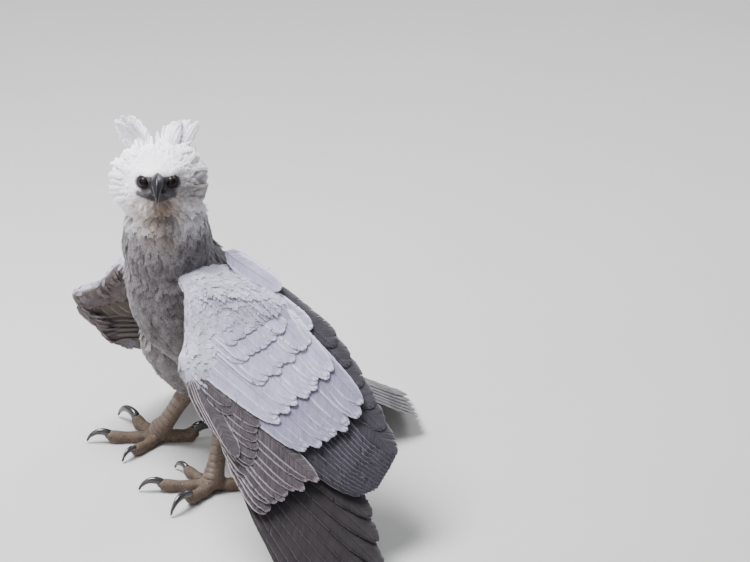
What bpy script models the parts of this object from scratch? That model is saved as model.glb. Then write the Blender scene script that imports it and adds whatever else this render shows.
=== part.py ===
"""A harpy eagle standing at rest, life size, as a still model of closed solids.

Metres, +Z up. The bird faces -Y and its left side is +X. It stands on both feet with its head turned
to its left and raised, its left wing let down until the tips lie on the floor, its right wing half
closed, and its tail laid on the floor behind it. Flight and tail feathers, wing coverts, crest and
ruff are overlapping vanes, joined to the node they grow from. The origin is the bottom centre of the
bounding box.
"""

import bmesh
import bpy
import numpy as np
from mathutils.bvhtree import BVHTree

# Clearances, in metres like every size here.
GAP = 0.00035
FLOOR_SLAB = 0.2

# The trunk: rows of x, y, z, half-width and half-depth from the base of the neck to the root of the tail.
TORSO_ROWS = (
    (0.006, -0.052, 0.470, 0.000, 0.000),
    (0.006, -0.048, 0.450, 0.058, 0.056),
    (0.007, -0.040, 0.412, 0.084, 0.079),
    (0.009, -0.026, 0.362, 0.091, 0.094),
    (0.012, -0.008, 0.312, 0.092, 0.097),
    (0.016, 0.018, 0.268, 0.085, 0.084),
    (0.016, 0.052, 0.238, 0.067, 0.062),
    (0.014, 0.086, 0.221, 0.047, 0.041),
    (0.012, 0.109, 0.208, 0.030, 0.026),
    (0.012, 0.122, 0.200, 0.000, 0.000),
)
NECK_ROWS = (
    (0.010, -0.040, 0.350, 0.000, 0.000),
    (0.010, -0.043, 0.385, 0.070, 0.066),
    (0.011, -0.046, 0.425, 0.081, 0.077),
    (0.012, -0.049, 0.462, 0.077, 0.074),
    (0.012, -0.053, 0.495, 0.069, 0.067),
    (0.012, -0.057, 0.520, 0.050, 0.050),
    (0.012, -0.059, 0.536, 0.000, 0.000),
)

# The head: its centre, how far it turns to the bird's left and looks up, and rows of
# forward, up, half-width and half-height from its back to the root of the bill.
HEAD_CENTRE = (0.011, -0.060, 0.545)
HEAD_YAW = 56.0
HEAD_PITCH = 24.0
SKULL_ROWS = (
    (-0.070, 0.008, 0.000, 0.000),
    (-0.060, 0.008, 0.044, 0.040),
    (-0.036, 0.004, 0.068, 0.061),
    (-0.010, 0.000, 0.079, 0.071),
    (0.014, -0.001, 0.077, 0.069),
    (0.032, -0.001, 0.062, 0.057),
    (0.047, 0.000, 0.046, 0.043),
    (0.058, 0.000, 0.032, 0.031),
    (0.065, -0.002, 0.019, 0.021),
    (0.069, -0.004, 0.000, 0.000),
)
EYE_RADIUS = 0.0115
EYE_PLACE = (0.0560, 0.0205, 0.003)
EYE_OUTWARD = 30.0
LID_RADIUS = 0.0104
LID_THICKNESS = 0.0024
BROW_HALF_SIZES = (0.006, 0.0045, 0.016)

# The bill: rows of forward, up, half-width and half-height down each half's middle line.
UPPER_BILL_ROWS = (
    (0.050, 0.000, 0.000, 0.000),
    (0.057, 0.001, 0.0150, 0.0165),
    (0.070, 0.002, 0.0135, 0.0155),
    (0.082, -0.001, 0.0110, 0.0130),
    (0.0905, -0.008, 0.0078, 0.0098),
    (0.0945, -0.018, 0.0046, 0.0060),
    (0.0945, -0.026, 0.0020, 0.0028),
    (0.0935, -0.031, 0.000, 0.000),
)
LOWER_BILL_ROWS = (
    (0.048, -0.015, 0.000, 0.000),
    (0.056, -0.016, 0.0120, 0.0055),
    (0.069, -0.017, 0.0105, 0.0055),
    (0.080, -0.018, 0.0070, 0.0042),
    (0.086, -0.0185, 0.000, 0.000),
)
NOSTRIL_PLACE = (0.067, 0.0130, 0.006)
NOSTRIL_HALF_SIZES = (0.0022, 0.0030, 0.0042)

# The ruff round the face, and the two raised fans of the crest.
RUFF_VANES = 14
RUFF_OPEN = 80.0
RUFF_ROOT_FORWARD = 0.012
RUFF_LENGTH = 0.040
RUFF_WIDTH = 0.035
CREST_VANES = 6
CREST_LENGTH = 0.074
CREST_WIDTH = 0.027

# The thickness of every vane, and the height at which a long one starts to bend level onto the floor.
VANE_THICKNESS = 0.0007
LAYER_STEP = 0.00105
TOUCHDOWN_HEIGHT = 0.03

# Legs: places on the bird's right (first) and left side.
HIPS = ((-0.033, 0.030, 0.292), (0.066, 0.042, 0.290))
KNEES = ((-0.040, -0.022, 0.236), (0.076, -0.018, 0.236))
HOCKS = ((-0.040, 0.019, 0.118), (0.078, 0.016, 0.118))
FEET = ((-0.100, 0.000, 0.020), (0.100, -0.020, 0.020))
TARSUS_HALF_WIDTH = 0.0140
TARSUS_HALF_DEPTH = 0.0155
SCUTES = 5
SCUTE_HEIGHT = 0.0165
SCUTE_RAISE = 0.0012
SCUTE_POINTS = 4

# Toes 1 to 4: the turn from the middle toe's direction, the length from the foot's centre,
# the half-thickness, and the claw's length along its curve and its half-thickness at the root.
# The claw's rows are the share of its length and of its thickness.
FOOT_TURN = 32.0
TOES = (
    (180.0, 0.064, 0.0115, 0.074, 0.0092),
    (-52.0, 0.072, 0.0112, 0.064, 0.0084),
    (0.0, 0.094, 0.0104, 0.048, 0.0070),
    (50.0, 0.074, 0.0096, 0.040, 0.0060),
)
CLAW_ROWS = (
    (-0.06, 0.0),
    (0.02, 1.0),
    (0.2, 0.93),
    (0.4, 0.78),
    (0.6, 0.6),
    (0.8, 0.38),
    (0.94, 0.16),
    (1.0, 0.0),
)
CLAW_RISE = 35.0
CLAW_CURVE = 110.0
CLAW_TIP_HEIGHT = 0.003

# The tail.
TAIL_ROOT = (0.012, 0.104, 0.212)
TAIL_DIRECTION = (0.0, 0.845, -0.535)
TAIL_FEATHERS = 12
TAIL_LENGTH = 0.375
TAIL_WIDTH = 0.050
TAIL_FAN = 15.0

# Wings: joints of the arm, the place on the flank where the wing's skin ends, and the lie of the
# feathers at the flank, the elbow, the wrist and the hand's two ends. The right wing's places are
# given as for a left one and mirrored.
LEFT_WING = {
    "side": 1,
    "shoulder": (0.075, -0.066, 0.392),
    "flank": (0.066, 0.034, 0.400),
    "elbow": (0.140, 0.050, 0.362),
    "wrist": (0.182, -0.124, 0.308),
    "hand_tip": (0.296, -0.117, 0.207),
    "flank_feathers": (0.500, 0.600, -0.620),
    "elbow_feathers": (0.744, 0.253, -0.619),
    "wrist_feathers": (0.680, 0.490, -0.550),
    "inner_hand_feathers": (0.663, 0.529, -0.530),
    "outer_hand_feathers": (0.790, 0.020, -0.610),
}
RIGHT_WING = {
    "side": -1,
    "shoulder": (0.068, -0.064, 0.358),
    "flank": (0.064, 0.046, 0.358),
    "elbow": (0.124, 0.054, 0.316),
    "wrist": (0.162, -0.114, 0.290),
    "hand_tip": (0.190, -0.050, 0.180),
    "flank_feathers": (0.060, 0.790, -0.610),
    "elbow_feathers": (0.200, 0.750, -0.630),
    "wrist_feathers": (0.300, 0.700, -0.650),
    "inner_hand_feathers": (0.060, 0.920, -0.360),
    "outer_hand_feathers": (0.050, 0.930, -0.340),
}

# Flight feathers, and how far those of the arm lift from the wing's plane toward the elbow.
PRIMARY_LENGTHS = (0.37, 0.39, 0.41, 0.44, 0.47, 0.49, 0.49, 0.47, 0.43, 0.38)
PRIMARY_WIDTH = 0.056
SECONDARIES = 10
SECONDARY_LENGTH = 0.36
SECONDARY_WIDTH = 0.062
TERTIAL_LENGTHS = (0.285, 0.225)
ARM_TWIST = 0.018

# Red, green, blue and roughness of each finish.
COLOURS = {
    "white_feather": (0.72, 0.70, 0.72, 0.75),
    "grey_feather": (0.26, 0.24, 0.26, 0.75),
    "covert_feather": (0.46, 0.44, 0.54, 0.75),
    "dark_feather": (0.09, 0.08, 0.10, 0.70),
    "bare_skin": (0.38, 0.32, 0.20, 0.55),
    "horn": (0.035, 0.035, 0.04, 0.30),
    "eye": (0.02, 0.018, 0.02, 0.08),
}

rng = np.random.default_rng(7)


def unit(vector):
    """The vector at length 1."""
    vector = np.asarray(vector, float)
    return vector / np.linalg.norm(vector)


def blend(first, second, t):
    """The direction that lies the share t of the way from the first to the second."""
    return unit(np.asarray(first, float) * (1 - t) + np.asarray(second, float) * t)


def mesh_object(name, points, faces):
    """A new object from points and faces, with its faces turned outward and split into triangles."""
    mesh = bpy.data.meshes.new(name)
    mesh.from_pydata([tuple(point) for point in points], [], faces)
    work = bmesh.new()
    work.from_mesh(mesh)
    bmesh.ops.recalc_face_normals(work, faces=work.faces)
    bmesh.ops.triangulate(work, faces=work.faces)
    work.to_mesh(mesh)
    work.free()
    made = bpy.data.objects.new(name, mesh)
    bpy.context.scene.collection.objects.link(made)
    return made


def smooth(rows, steps):
    """Rows of numbers made finer, with steps between each two, along a curve through them all."""
    rows = np.asarray(rows, float)
    ends = np.vstack([2 * rows[0] - rows[1], rows, 2 * rows[-1] - rows[-2]])
    fine = []
    for a, b, c, d in zip(ends, ends[1:], ends[2:], ends[3:]):
        for t in np.arange(steps) / steps:
            cubic = (3 * b - a - 3 * c + d) * t**3
            square = (2 * a - 5 * b + 4 * c - d) * t**2
            fine.append(0.5 * (2 * b + (c - a) * t + square + cubic))
    return np.array(fine + [rows[-1]])


def ring_faces(rings, sides):
    """Faces that join rings of points in turn, with one point closing each end."""
    faces = []
    last = 1 + rings * sides
    for j in range(sides):
        k = (j + 1) % sides
        faces.append((0, 1 + k, 1 + j))
        faces.append((last, last - sides + j, last - sides + k))
        for i in range(rings - 1):
            a = 1 + i * sides
            b = a + sides
            faces.append((a + j, a + k, b + k, b + j))
    return faces


def limb(name, rows, across, sides=20, steps=2):
    """A rounded closed body through rows of x, y, z, half-width and half-depth; both end rows are points."""
    rows = np.array(rows, float)
    rows[:, 3:] **= 2
    fine = smooth(rows, steps)
    centres = fine[:, :3]
    radii = np.sqrt(np.clip(fine[:, 3:], 0, None))
    tangents = np.gradient(centres, axis=0)
    points = [centres[0]]
    for centre, (wide, deep), tangent in zip(centres[1:-1], radii[1:-1], tangents[1:-1]):
        tangent = unit(tangent)
        side = unit(np.asarray(across, float) - tangent * np.dot(across, tangent))
        front = np.cross(tangent, side)
        for angle in 2 * np.pi * np.arange(sides) / sides:
            points.append(centre + side * wide * np.cos(angle) + front * deep * np.sin(angle))
    points.append(centres[-1])
    return mesh_object(name, points, ring_faces(len(fine) - 2, sides))


def shaft(root, along, up, length, bend, rest, steps=24):
    """Points along a feather's shaft, which bends toward up and levels out as it nears the floor."""
    places = [np.array(root, float)]
    step = length / steps
    for i in range(steps):
        heading = unit(np.asarray(along) + np.asarray(up) * 2 * bend * (i + 0.5) / steps / length)
        height = places[-1][2] - rest
        if heading[2] < 0:
            heading[2] *= np.sqrt(np.clip(height / TOUCHDOWN_HEIGHT, 0.0, 1.0))
            heading = unit(heading)
        places.append(places[-1] + heading * step)
    return np.array(places)


def stations(outline, places, rest):
    """The outline's rows, with rows added where a feather starts to turn level, half does, and lies level."""
    share = np.linspace(0, 1, len(places))
    added = []
    for part in (1.0, 0.3, 0.01):
        low = np.nonzero(places[:, 2] - rest < part * TOUCHDOWN_HEIGHT)[0]
        if len(low) and 0 < share[low[0]] < 0.97:
            added.append(share[low[0]])
    kept = [row for row in outline if all(abs(row[0] - t) > 0.07 or row[0] in (0.0, 1.0) for t in added)]
    shares, widths = zip(*outline)
    return sorted(kept + [(t, np.interp(t, shares, widths)) for t in added])


def near_floor(height):
    """How far a feather has turned level at this height above its rest: 0 in the air, 1 on the floor."""
    return np.clip(1.0 - height / TOUCHDOWN_HEIGHT, 0.0, 1.0)


# The outlines of vanes: share of the length and share of the full width, from root to tip.
FLIGHT_OUTLINE = ((0.0, 0.35), (0.5, 1.0), (0.9, 0.82), (1.0, 0.24))
COVERT_OUTLINE = ((0.0, 0.55), (0.5, 1.0), (0.86, 0.8), (1.0, 0.26))
SMALL_OUTLINE = ((0.0, 0.6), (0.62, 1.0), (1.0, 0.34))

# Tiers of wing coverts: how many, from and to which place along the bones, how far behind them the
# roots lie, the roots' height and the length at both ends, width, how far the tips fall, and the outline.
COVERT_TILT = 3.5
ARM_TIERS = (
    (8, 0.05, 1.04, 0.030, (0.0085, 0.0095), (0.222, 0.230), 0.048, -0.0020, COVERT_OUTLINE),
    (7, 0.06, 1.04, 0.012, (0.0130, 0.0145), (0.168, 0.164), 0.046, -0.0015, SMALL_OUTLINE),
    (6, 0.16, 1.02, -0.004, (0.0175, 0.0195), (0.100, 0.100), 0.044, -0.0010, SMALL_OUTLINE),
    (3, 0.30, 0.86, -0.034, (0.0215, 0.0235), (0.080, 0.080), 0.052, -0.0030, SMALL_OUTLINE),
)
HAND_TIERS = (
    (7, 0.12, 0.97, 0.014, (0.0080, 0.0003), (0.215, 0.140), 0.040, 0.0000, SMALL_OUTLINE),
    (4, 0.14, 0.82, 0.002, (0.0120, 0.0060), (0.120, 0.085), 0.040, -0.0020, SMALL_OUTLINE),
)
# Rows of scapulars: how many, from and to which place beyond the wrist, the share of the way to the
# shoulder, length, width and height.
SCAPULAR_ROWS = (
    (5, 1.10, 1.75, 0.12, 0.140, 0.060, 0.026),
    (4, 1.20, 1.75, 0.42, 0.105, 0.054, 0.032),
)


def feather(root, along, up, lead, length, width, outline, tilt=0.0, bend=0.0, rest=0.0003):
    """One feather as a closed thin strip. The tilt in degrees raises the edge that lead points to."""
    places = shaft(root, along, up, length, bend, rest)
    headings = np.gradient(places, axis=0)
    share = np.linspace(0, 1, len(places))
    angle = np.radians(tilt)
    points = []
    rows = stations(outline, places, rest)
    for t, wide in rows:
        place = np.array([np.interp(t, share, places[:, k]) for k in range(3)])
        heading = unit([np.interp(t, share, headings[:, k]) for k in range(3)])
        top = blend(up, (0, 0, 1), near_floor(place[2] - rest))
        side = unit(np.cross(top, heading))
        side = side if np.dot(side, lead) > 0 else -side
        top = np.cross(heading, side)
        top = top if np.dot(top, up) > 0 else -top
        side, top = side * np.cos(angle) + top * np.sin(angle), top * np.cos(angle) - side * np.sin(angle)
        edges = [place + side * offset * wide * width for offset in (0.5, -0.5)]
        for edge in edges:
            edge[2] = max(edge[2], rest)
        points += [edge + top * VANE_THICKNESS / 2 for edge in edges]
        points += [edge - top * VANE_THICKNESS / 2 for edge in edges]
    return mesh_object("vane", points, strip_faces(len(rows)))


def strip_faces(stations):
    """Triangles of a thin strip with two edges, split alike on both faces."""
    faces = []

    def quad(a, b, c, d):
        faces.extend([(a, b, c), (a, c, d)])

    for a in range(0, (stations - 1) * 4, 4):
        b = a + 4
        quad(a, a + 1, b + 1, b)
        quad(a + 2, a + 3, b + 3, b + 2)
        quad(a, a + 2, b + 2, b)
        quad(a + 1, a + 3, b + 3, b + 1)
    for a in (0, (stations - 1) * 4):
        quad(a, a + 1, a + 3, a + 2)
    return faces


def remove(pieces):
    """Removes objects that were joined or used as cutters."""
    for piece in pieces:
        bpy.data.objects.remove(piece, do_unlink=True)


def apply_boolean(target, operation, others):
    """Joins or cuts the target with a collection of other closed objects, and removes those."""
    group = bpy.data.collections.new("group")
    for other in others:
        group.objects.link(other)
    change = target.modifiers.new("change", "BOOLEAN")
    change.operation = operation
    change.operand_type = "COLLECTION"
    change.collection = group
    change.solver = "MANIFOLD"
    graph = bpy.context.evaluated_depsgraph_get()
    result = bpy.data.meshes.new_from_object(target.evaluated_get(graph))
    target.modifiers.clear()
    target.data = result
    bpy.data.collections.remove(group)
    remove(others)


def keep_largest(target):
    """Keeps the target's largest closed surface and drops every other."""
    work = bmesh.new()
    work.from_mesh(target.data)
    bmesh.ops.triangulate(work, faces=work.faces)
    left = set(work.verts)
    bodies = []
    while left:
        body = {left.pop()}
        front = list(body)
        while front:
            for edge in front.pop().link_edges:
                for vert in edge.verts:
                    if vert in left:
                        left.remove(vert)
                        body.add(vert)
                        front.append(vert)
        faces = {face for vert in body for face in vert.link_faces}
        volume = sum(f.verts[0].co.dot(f.verts[1].co.cross(f.verts[2].co)) for f in faces) / 6
        bodies.append((volume, body))
    bodies.sort(key=lambda item: item[0])
    for _, body in bodies[:-1]:
        bmesh.ops.delete(work, geom=list(body), context="VERTS")
    work.to_mesh(target.data)
    work.free()


def fuse(name, pieces):
    """One closed object from overlapping pieces."""
    target = pieces[0]
    target.name = name
    if len(pieces) > 1:
        apply_boolean(target, "UNION", pieces[1:])
    keep_largest(target)
    return target


def grown(target, by):
    """A copy of the target with its surface moved out."""
    copy = bpy.data.objects.new("cutter", target.data.copy())
    bpy.context.scene.collection.objects.link(copy)
    work = bmesh.new()
    work.from_mesh(copy.data)
    work.normal_update()
    moved = [(vert, vert.co + vert.normal * vert.calc_shell_factor() * by) for vert in work.verts]
    for vert, place in moved:
        vert.co = place
    work.to_mesh(copy.data)
    work.free()
    return copy


def clear_of(target, neighbours, by=GAP):
    """Cuts the target back so that it stays clear of its neighbours."""
    for neighbour in neighbours:
        apply_boolean(target, "DIFFERENCE", [grown(neighbour, by)])
    keep_largest(target)


def stand_flat(target):
    """Cuts off what reaches below the floor, so that what touches it ends in small flats."""
    if min(vert.co.z for vert in target.data.vertices) < 0:
        size = FLOOR_SLAB * 10
        corners = [(x, y, z) for x in (-size, size) for y in (-size, size) for z in (-FLOOR_SLAB, 0)]
        sides = ((0, 1, 3, 2), (4, 6, 7, 5), (0, 4, 5, 1), (2, 3, 7, 6), (0, 2, 6, 4), (1, 5, 7, 3))
        apply_boolean(target, "DIFFERENCE", [mesh_object("slab", corners, sides)])
        keep_largest(target)


def finish(target, slot):
    """Gives the object its own material."""
    red, green, blue, rough = COLOURS[slot]
    material = bpy.data.materials.new(target.name + "_" + slot)
    material.use_nodes = True
    shader = material.node_tree.nodes["Principled BSDF"]
    shader.inputs["Base Color"].default_value = (red, green, blue, 1)
    shader.inputs["Roughness"].default_value = rough
    target.data.materials.clear()
    target.data.materials.append(material)


def head_frame():
    """The head's centre and its forward, left and up directions."""
    yaw, pitch = np.radians((HEAD_YAW, HEAD_PITCH))
    forward = np.array((np.sin(yaw) * np.cos(pitch), -np.cos(yaw) * np.cos(pitch), np.sin(pitch)))
    left = np.array((np.cos(yaw), np.sin(yaw), 0.0))
    return np.array(HEAD_CENTRE), forward, left, np.cross(forward, left)


def in_head(forward, left, up):
    """The point at these distances from the head's centre."""
    centre, f, l, u = head_frame()
    return centre + f * forward + l * left + u * up


def head_limb(name, rows, sides, steps):
    """A limb whose rows run in the head's middle plane."""
    placed = [(*in_head(f, 0, u), wide, high) for f, u, wide, high in rows]
    return limb(name, placed, head_frame()[2], sides, steps)


def ball(name, centre, axes, half_sizes, segments=14, rings=8):
    """A ball or egg shape with half-sizes along three axes."""
    points = [np.array(centre) + axes[2] * half_sizes[2]]
    for polar in np.pi * np.arange(1, rings) / rings:
        for turn in 2 * np.pi * np.arange(segments) / segments:
            shares = (np.sin(polar) * np.cos(turn), np.sin(polar) * np.sin(turn), np.cos(polar))
            points.append(centre + sum(a * half * t for a, half, t in zip(axes, half_sizes, shares)))
    points.append(np.array(centre) - axes[2] * half_sizes[2])
    return mesh_object(name, points, ring_faces(rings - 1, segments))


def eye_axes(side):
    """The eye's own directions: across, up and out of the head."""
    _, forward, left, up = head_frame()
    angle = np.radians(EYE_OUTWARD)
    out = forward * np.cos(angle) + left * side * np.sin(angle)
    return np.cross(up, out), up, out


def eye_centre(side):
    """The centre of the eyeball on one side."""
    return in_head(EYE_PLACE[0], EYE_PLACE[1] * side, EYE_PLACE[2])


def lid(side):
    """The lids of one eye as a rounded ring."""
    across, up, out = eye_axes(side)
    centre = eye_centre(side) + out * 0.0035
    around, tube = 10, 4
    points = []
    for a in 2 * np.pi * np.arange(around) / around:
        radial = across * np.cos(a) + up * np.sin(a)
        for b in 2 * np.pi * np.arange(tube) / tube:
            reach = LID_RADIUS + LID_THICKNESS * np.cos(b)
            points.append(centre + radial * reach + out * LID_THICKNESS * np.sin(b))
    faces = []
    for i in range(around):
        for j in range(tube):
            k = (j + 1) % tube
            n = (i + 1) % around
            faces.append((i * tube + j, i * tube + k, n * tube + k, n * tube + j))
    return mesh_object("lid", points, faces)


def brow(side):
    """The bony shelf over one eye."""
    _, forward, left, up = head_frame()
    centre = in_head(EYE_PLACE[0] + 0.003, EYE_PLACE[1] * side * 1.02, EYE_PLACE[2] + 0.0125)
    run = unit(left * side - forward * 0.55 + up * 0.18)
    return ball("brow", centre, (np.cross(up, run), up, run), BROW_HALF_SIZES, 8, 4)


def ruff():
    """The ring of short broad vanes that frames the face."""
    _, forward, left, up = head_frame()
    vanes = []
    for i in range(RUFF_VANES):
        angle = np.radians(90 + RUFF_OPEN / 2 + (360 - RUFF_OPEN) * i / (RUFF_VANES - 1))
        radial = left * np.cos(angle) + up * np.sin(angle)
        root = in_head(RUFF_ROOT_FORWARD, 0.066 * np.cos(angle), 0.058 * np.sin(angle))
        along = unit(radial * 0.62 - forward * 0.72)
        top = unit(radial * 0.76 + forward * 0.62)
        length = RUFF_LENGTH * rng.uniform(0.9, 1.1)
        lead = np.cross(radial, forward)
        vanes.append(feather(root, along, top, lead, length, RUFF_WIDTH, SMALL_OUTLINE, 8, 0.006))
    return vanes


def crest():
    """Two raised fans of long feathers on the back of the crown."""
    _, forward, left, up = head_frame()
    vanes = []
    for side in (1, -1):
        for i in range(CREST_VANES):
            t = i / (CREST_VANES - 1)
            root = in_head(-0.010 - 0.026 * t, side * (0.012 + 0.034 * t), 0.058 - 0.012 * t)
            sideways = left * side * (0.12 + 0.62 * t)
            along = unit(up * (0.86 - 0.26 * t) + sideways - forward * (0.62 + 0.10 * t))
            top = unit(forward + up * 0.5)
            length = CREST_LENGTH * (0.84 + 0.16 * np.sin(np.pi * t)) * rng.uniform(0.92, 1.08)
            lead = left * side
            vanes.append(feather(root, along, top, lead, length, CREST_WIDTH, COVERT_OUTLINE, -9, 0.010))
    return vanes


def make_head():
    """The head with bill and eyes; each is its own node."""
    _, forward, left, up = head_frame()
    skull = head_limb("skull", SKULL_ROWS, 20, 2)
    eyes = []
    for side, name in ((1, "left_eye"), (-1, "right_eye")):
        eyes.append(ball(name, eye_centre(side), eye_axes(side), [EYE_RADIUS] * 3, 12, 6))
    upper = head_limb("upper_bill", UPPER_BILL_ROWS, 10, 2)
    nostrils = []
    for side in (1, -1):
        centre = in_head(NOSTRIL_PLACE[0], NOSTRIL_PLACE[1] * side, NOSTRIL_PLACE[2])
        nostrils.append(ball("nostril", centre, (forward, left, up), NOSTRIL_HALF_SIZES, 6, 4))
    apply_boolean(upper, "DIFFERENCE", nostrils)
    clear_of(upper, eyes)
    lower = head_limb("lower_bill", LOWER_BILL_ROWS, 8, 2)
    clear_of(lower, [upper], 0.0006)
    pieces = [skull, lid(1), lid(-1), brow(1), brow(-1), *ruff(), *crest()]
    head = fuse("head", pieces)
    clear_of(head, [*eyes, upper, lower])
    return head, eyes, upper, lower


def make_leg(index, name):
    """One leg: the feathered thigh, the bare tarsus with its scutes, four toes and their claws."""
    side = -1 if index == 0 else 1
    hip, knee, hock, foot = (np.array(row[index]) for row in (HIPS, KNEES, HOCKS, FEET))
    thigh = limb(
        name + "_thigh",
        (
            (*hip, 0.0, 0.0),
            (*(hip * 0.62 + knee * 0.38), 0.046, 0.052),
            (*(knee + (0, 0.006, 0)), 0.050, 0.054),
            (*(knee * 0.62 + hock * 0.38), 0.041, 0.046),
            (*(knee * 0.3 + hock * 0.7), 0.028, 0.033),
            (*(knee * 0.06 + hock * 0.94), 0.0195, 0.021),
            (*(hock + (0, 0.001, -0.008)), 0.0, 0.0),
        ),
        (1, 0, 0),
        14,
        2,
    )
    down = unit(foot - hock)
    bone = limb(
        name + "_tarsus",
        (
            (*(hock - down * 0.010), 0.0, 0.0),
            (*hock, TARSUS_HALF_WIDTH * 1.12, TARSUS_HALF_DEPTH * 1.08),
            (*(hock * 0.6 + foot * 0.4), TARSUS_HALF_WIDTH * 0.94, TARSUS_HALF_DEPTH * 0.96),
            (*(hock * 0.25 + foot * 0.75), TARSUS_HALF_WIDTH, TARSUS_HALF_DEPTH),
            (*(foot + (0, 0, 0.004)), 0.0185, 0.0185),
            (*(foot + (0, 0, -0.011)), 0.0170, 0.0170),
            (*(foot + (0, 0, -0.025)), 0.0, 0.0),
        ),
        (1, 0, 0),
        10,
        1,
    )
    turn = np.radians(FOOT_TURN)
    facing = np.array((-np.sin(turn), -np.cos(turn), 0.0))
    pieces = [bone]
    for i in range(SCUTES):
        pieces.append(scute(hock, foot, facing, (i + 0.9) / (SCUTES + 1)))
    tarsus = fuse(name + "_tarsus", pieces)
    stand_flat(tarsus)
    clear_of(tarsus, [thigh])
    toes = []
    for number, (angle, *sizes) in enumerate(TOES, 1):
        heading = turn + np.radians(angle * side)
        toes += make_toe(f"{name}_toe_{number}", foot, heading, sizes, [tarsus, *toes[::2]])
    return thigh, tarsus, toes


def scute(hock, foot, facing, t):
    """One raised plate across the front of the tarsus."""
    down = unit(foot - hock)
    front = unit(facing - down * np.dot(facing, down))
    side = np.cross(down, front)
    centre = hock * (1 - t) + foot * t
    points = []
    for height, raise_by in ((-0.5, 0.0002), (0.5, SCUTE_RAISE)):
        for radius in (-0.004, raise_by):
            for angle in np.radians(np.linspace(-66, 66, SCUTE_POINTS)):
                radial = side * (TARSUS_HALF_WIDTH + radius) * np.sin(angle)
                radial = radial + front * (TARSUS_HALF_DEPTH + radius) * np.cos(angle)
                points.append(centre + down * height * SCUTE_HEIGHT + radial)
    n = SCUTE_POINTS
    faces = [(0, n, 3 * n, 2 * n), (n - 1, 2 * n - 1, 4 * n - 1, 3 * n - 1)]
    for j in range(n - 1):
        for first, second in ((0, n), (2 * n, 3 * n), (0, 2 * n), (n, 3 * n)):
            faces.append((first + j, first + j + 1, second + j + 1, second + j))
    return mesh_object("scute", points, faces)


def make_toe(name, foot, heading, sizes, neighbours):
    """A toe whose pads rest on the floor, and the claw that arches from its end."""
    length, thick, claw_length, claw_thick = sizes
    out = np.array((-np.sin(heading), -np.cos(heading), 0.0))
    across = np.array((out[1], -out[0], 0.0))
    rise, curve = np.radians((CLAW_RISE, CLAW_CURVE))
    radius = claw_length / curve
    start_height = CLAW_TIP_HEIGHT + radius * (np.cos(rise) - np.cos(rise - curve))
    ground = np.array((foot[0], foot[1], 0.0))
    rows = []
    for share, height, wide, high in (
        (-0.02, 0.018, 0.0, 0.0),
        (0.12, 0.017, 1.05, 1.1),
        (0.42, thick * 0.90, 1.08, 1.0),
        (0.60, thick * 1.02, 0.86, 0.92),
        (0.78, thick * 1.02, 1.04, 1.08),
        (0.93, start_height * 0.86, 0.90, 0.92),
        (1.03, start_height, 0.0, 0.0),
    ):
        rows.append((*(ground + out * length * share + (0, 0, height)), thick * wide, thick * high))
    toe = limb(name, rows, across, 8, 1)
    stand_flat(toe)
    clear_of(toe, neighbours)
    claw_rows = []
    begin = ground + out * (length * 0.93) + (0, 0, start_height)
    for share, full in CLAW_ROWS:
        bend = rise - curve * share
        ahead = radius * (np.sin(rise) - np.sin(bend))
        above = radius * (np.cos(bend) - np.cos(rise))
        place = begin + out * ahead + (0, 0, above)
        claw_rows.append((*place, claw_thick * full * 0.86, claw_thick * full))
    claw = limb(name.replace("toe", "claw"), claw_rows, across, 6, 1)
    clear_of(claw, [toe])
    return [toe, claw]


def from_middle(i, count):
    """How many vanes lie over the i-th of a fan that is stacked from its middle outward, side by side."""
    place = i - (count - 1) / 2
    return 2 * abs(place) - (1 if place > 0 else 0)


def make_tail():
    """Twelve long feathers in a narrow fan, and the coverts of rump and vent over and under their roots."""
    root = np.array(TAIL_ROOT)
    down = unit(TAIL_DIRECTION)
    up = unit(np.cross((1, 0, 0), down))
    side = np.array((1.0, 0.0, 0.0))
    core = limb(
        "tail",
        (
            (*(root - down * 0.030), 0.0, 0.0),
            (*(root - down * 0.010), 0.034, 0.025),
            (*(root + down * 0.030), 0.034, 0.020),
            (*(root + down * 0.075), 0.0, 0.0),
        ),
        side,
        12,
        2,
    )
    pieces = [core]
    for i in range(TAIL_FEATHERS):
        place = 2 * i / (TAIL_FEATHERS - 1) - 1
        below = LAYER_STEP * from_middle(i, TAIL_FEATHERS)
        angle = np.radians(TAIL_FAN * place)
        along = down * np.cos(angle) + side * np.sin(angle)
        begin = root + down * 0.01 + side * 0.024 * place + up * (0.0055 - below)
        length = TAIL_LENGTH * (1.0 - 0.1 * abs(place))
        rest = 0.0003 + LAYER_STEP * (TAIL_FEATHERS - 1) - below
        pieces.append(feather(begin, along, up, side, length, TAIL_WIDTH, FLIGHT_OUTLINE, 0.0, 0.0, rest))
    for facing, count, height, length in ((1, 6, 0.0165, 0.13), (-1, 4, 0.0145, 0.12)):
        for i in range(count):
            place = 2 * i / (count - 1) - 1
            along = unit(down + side * 0.2 * place + up * facing * 0.02)
            inward = height - LAYER_STEP * from_middle(i, count)
            begin = root + down * 0.002 + side * 0.022 * place + up * facing * inward
            size = length * (1.08 - 0.2 * abs(place))
            pieces.append(feather(begin, along, up * facing, side, size, 0.036, SMALL_OUTLINE))
    return fuse("tail", pieces)


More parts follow.
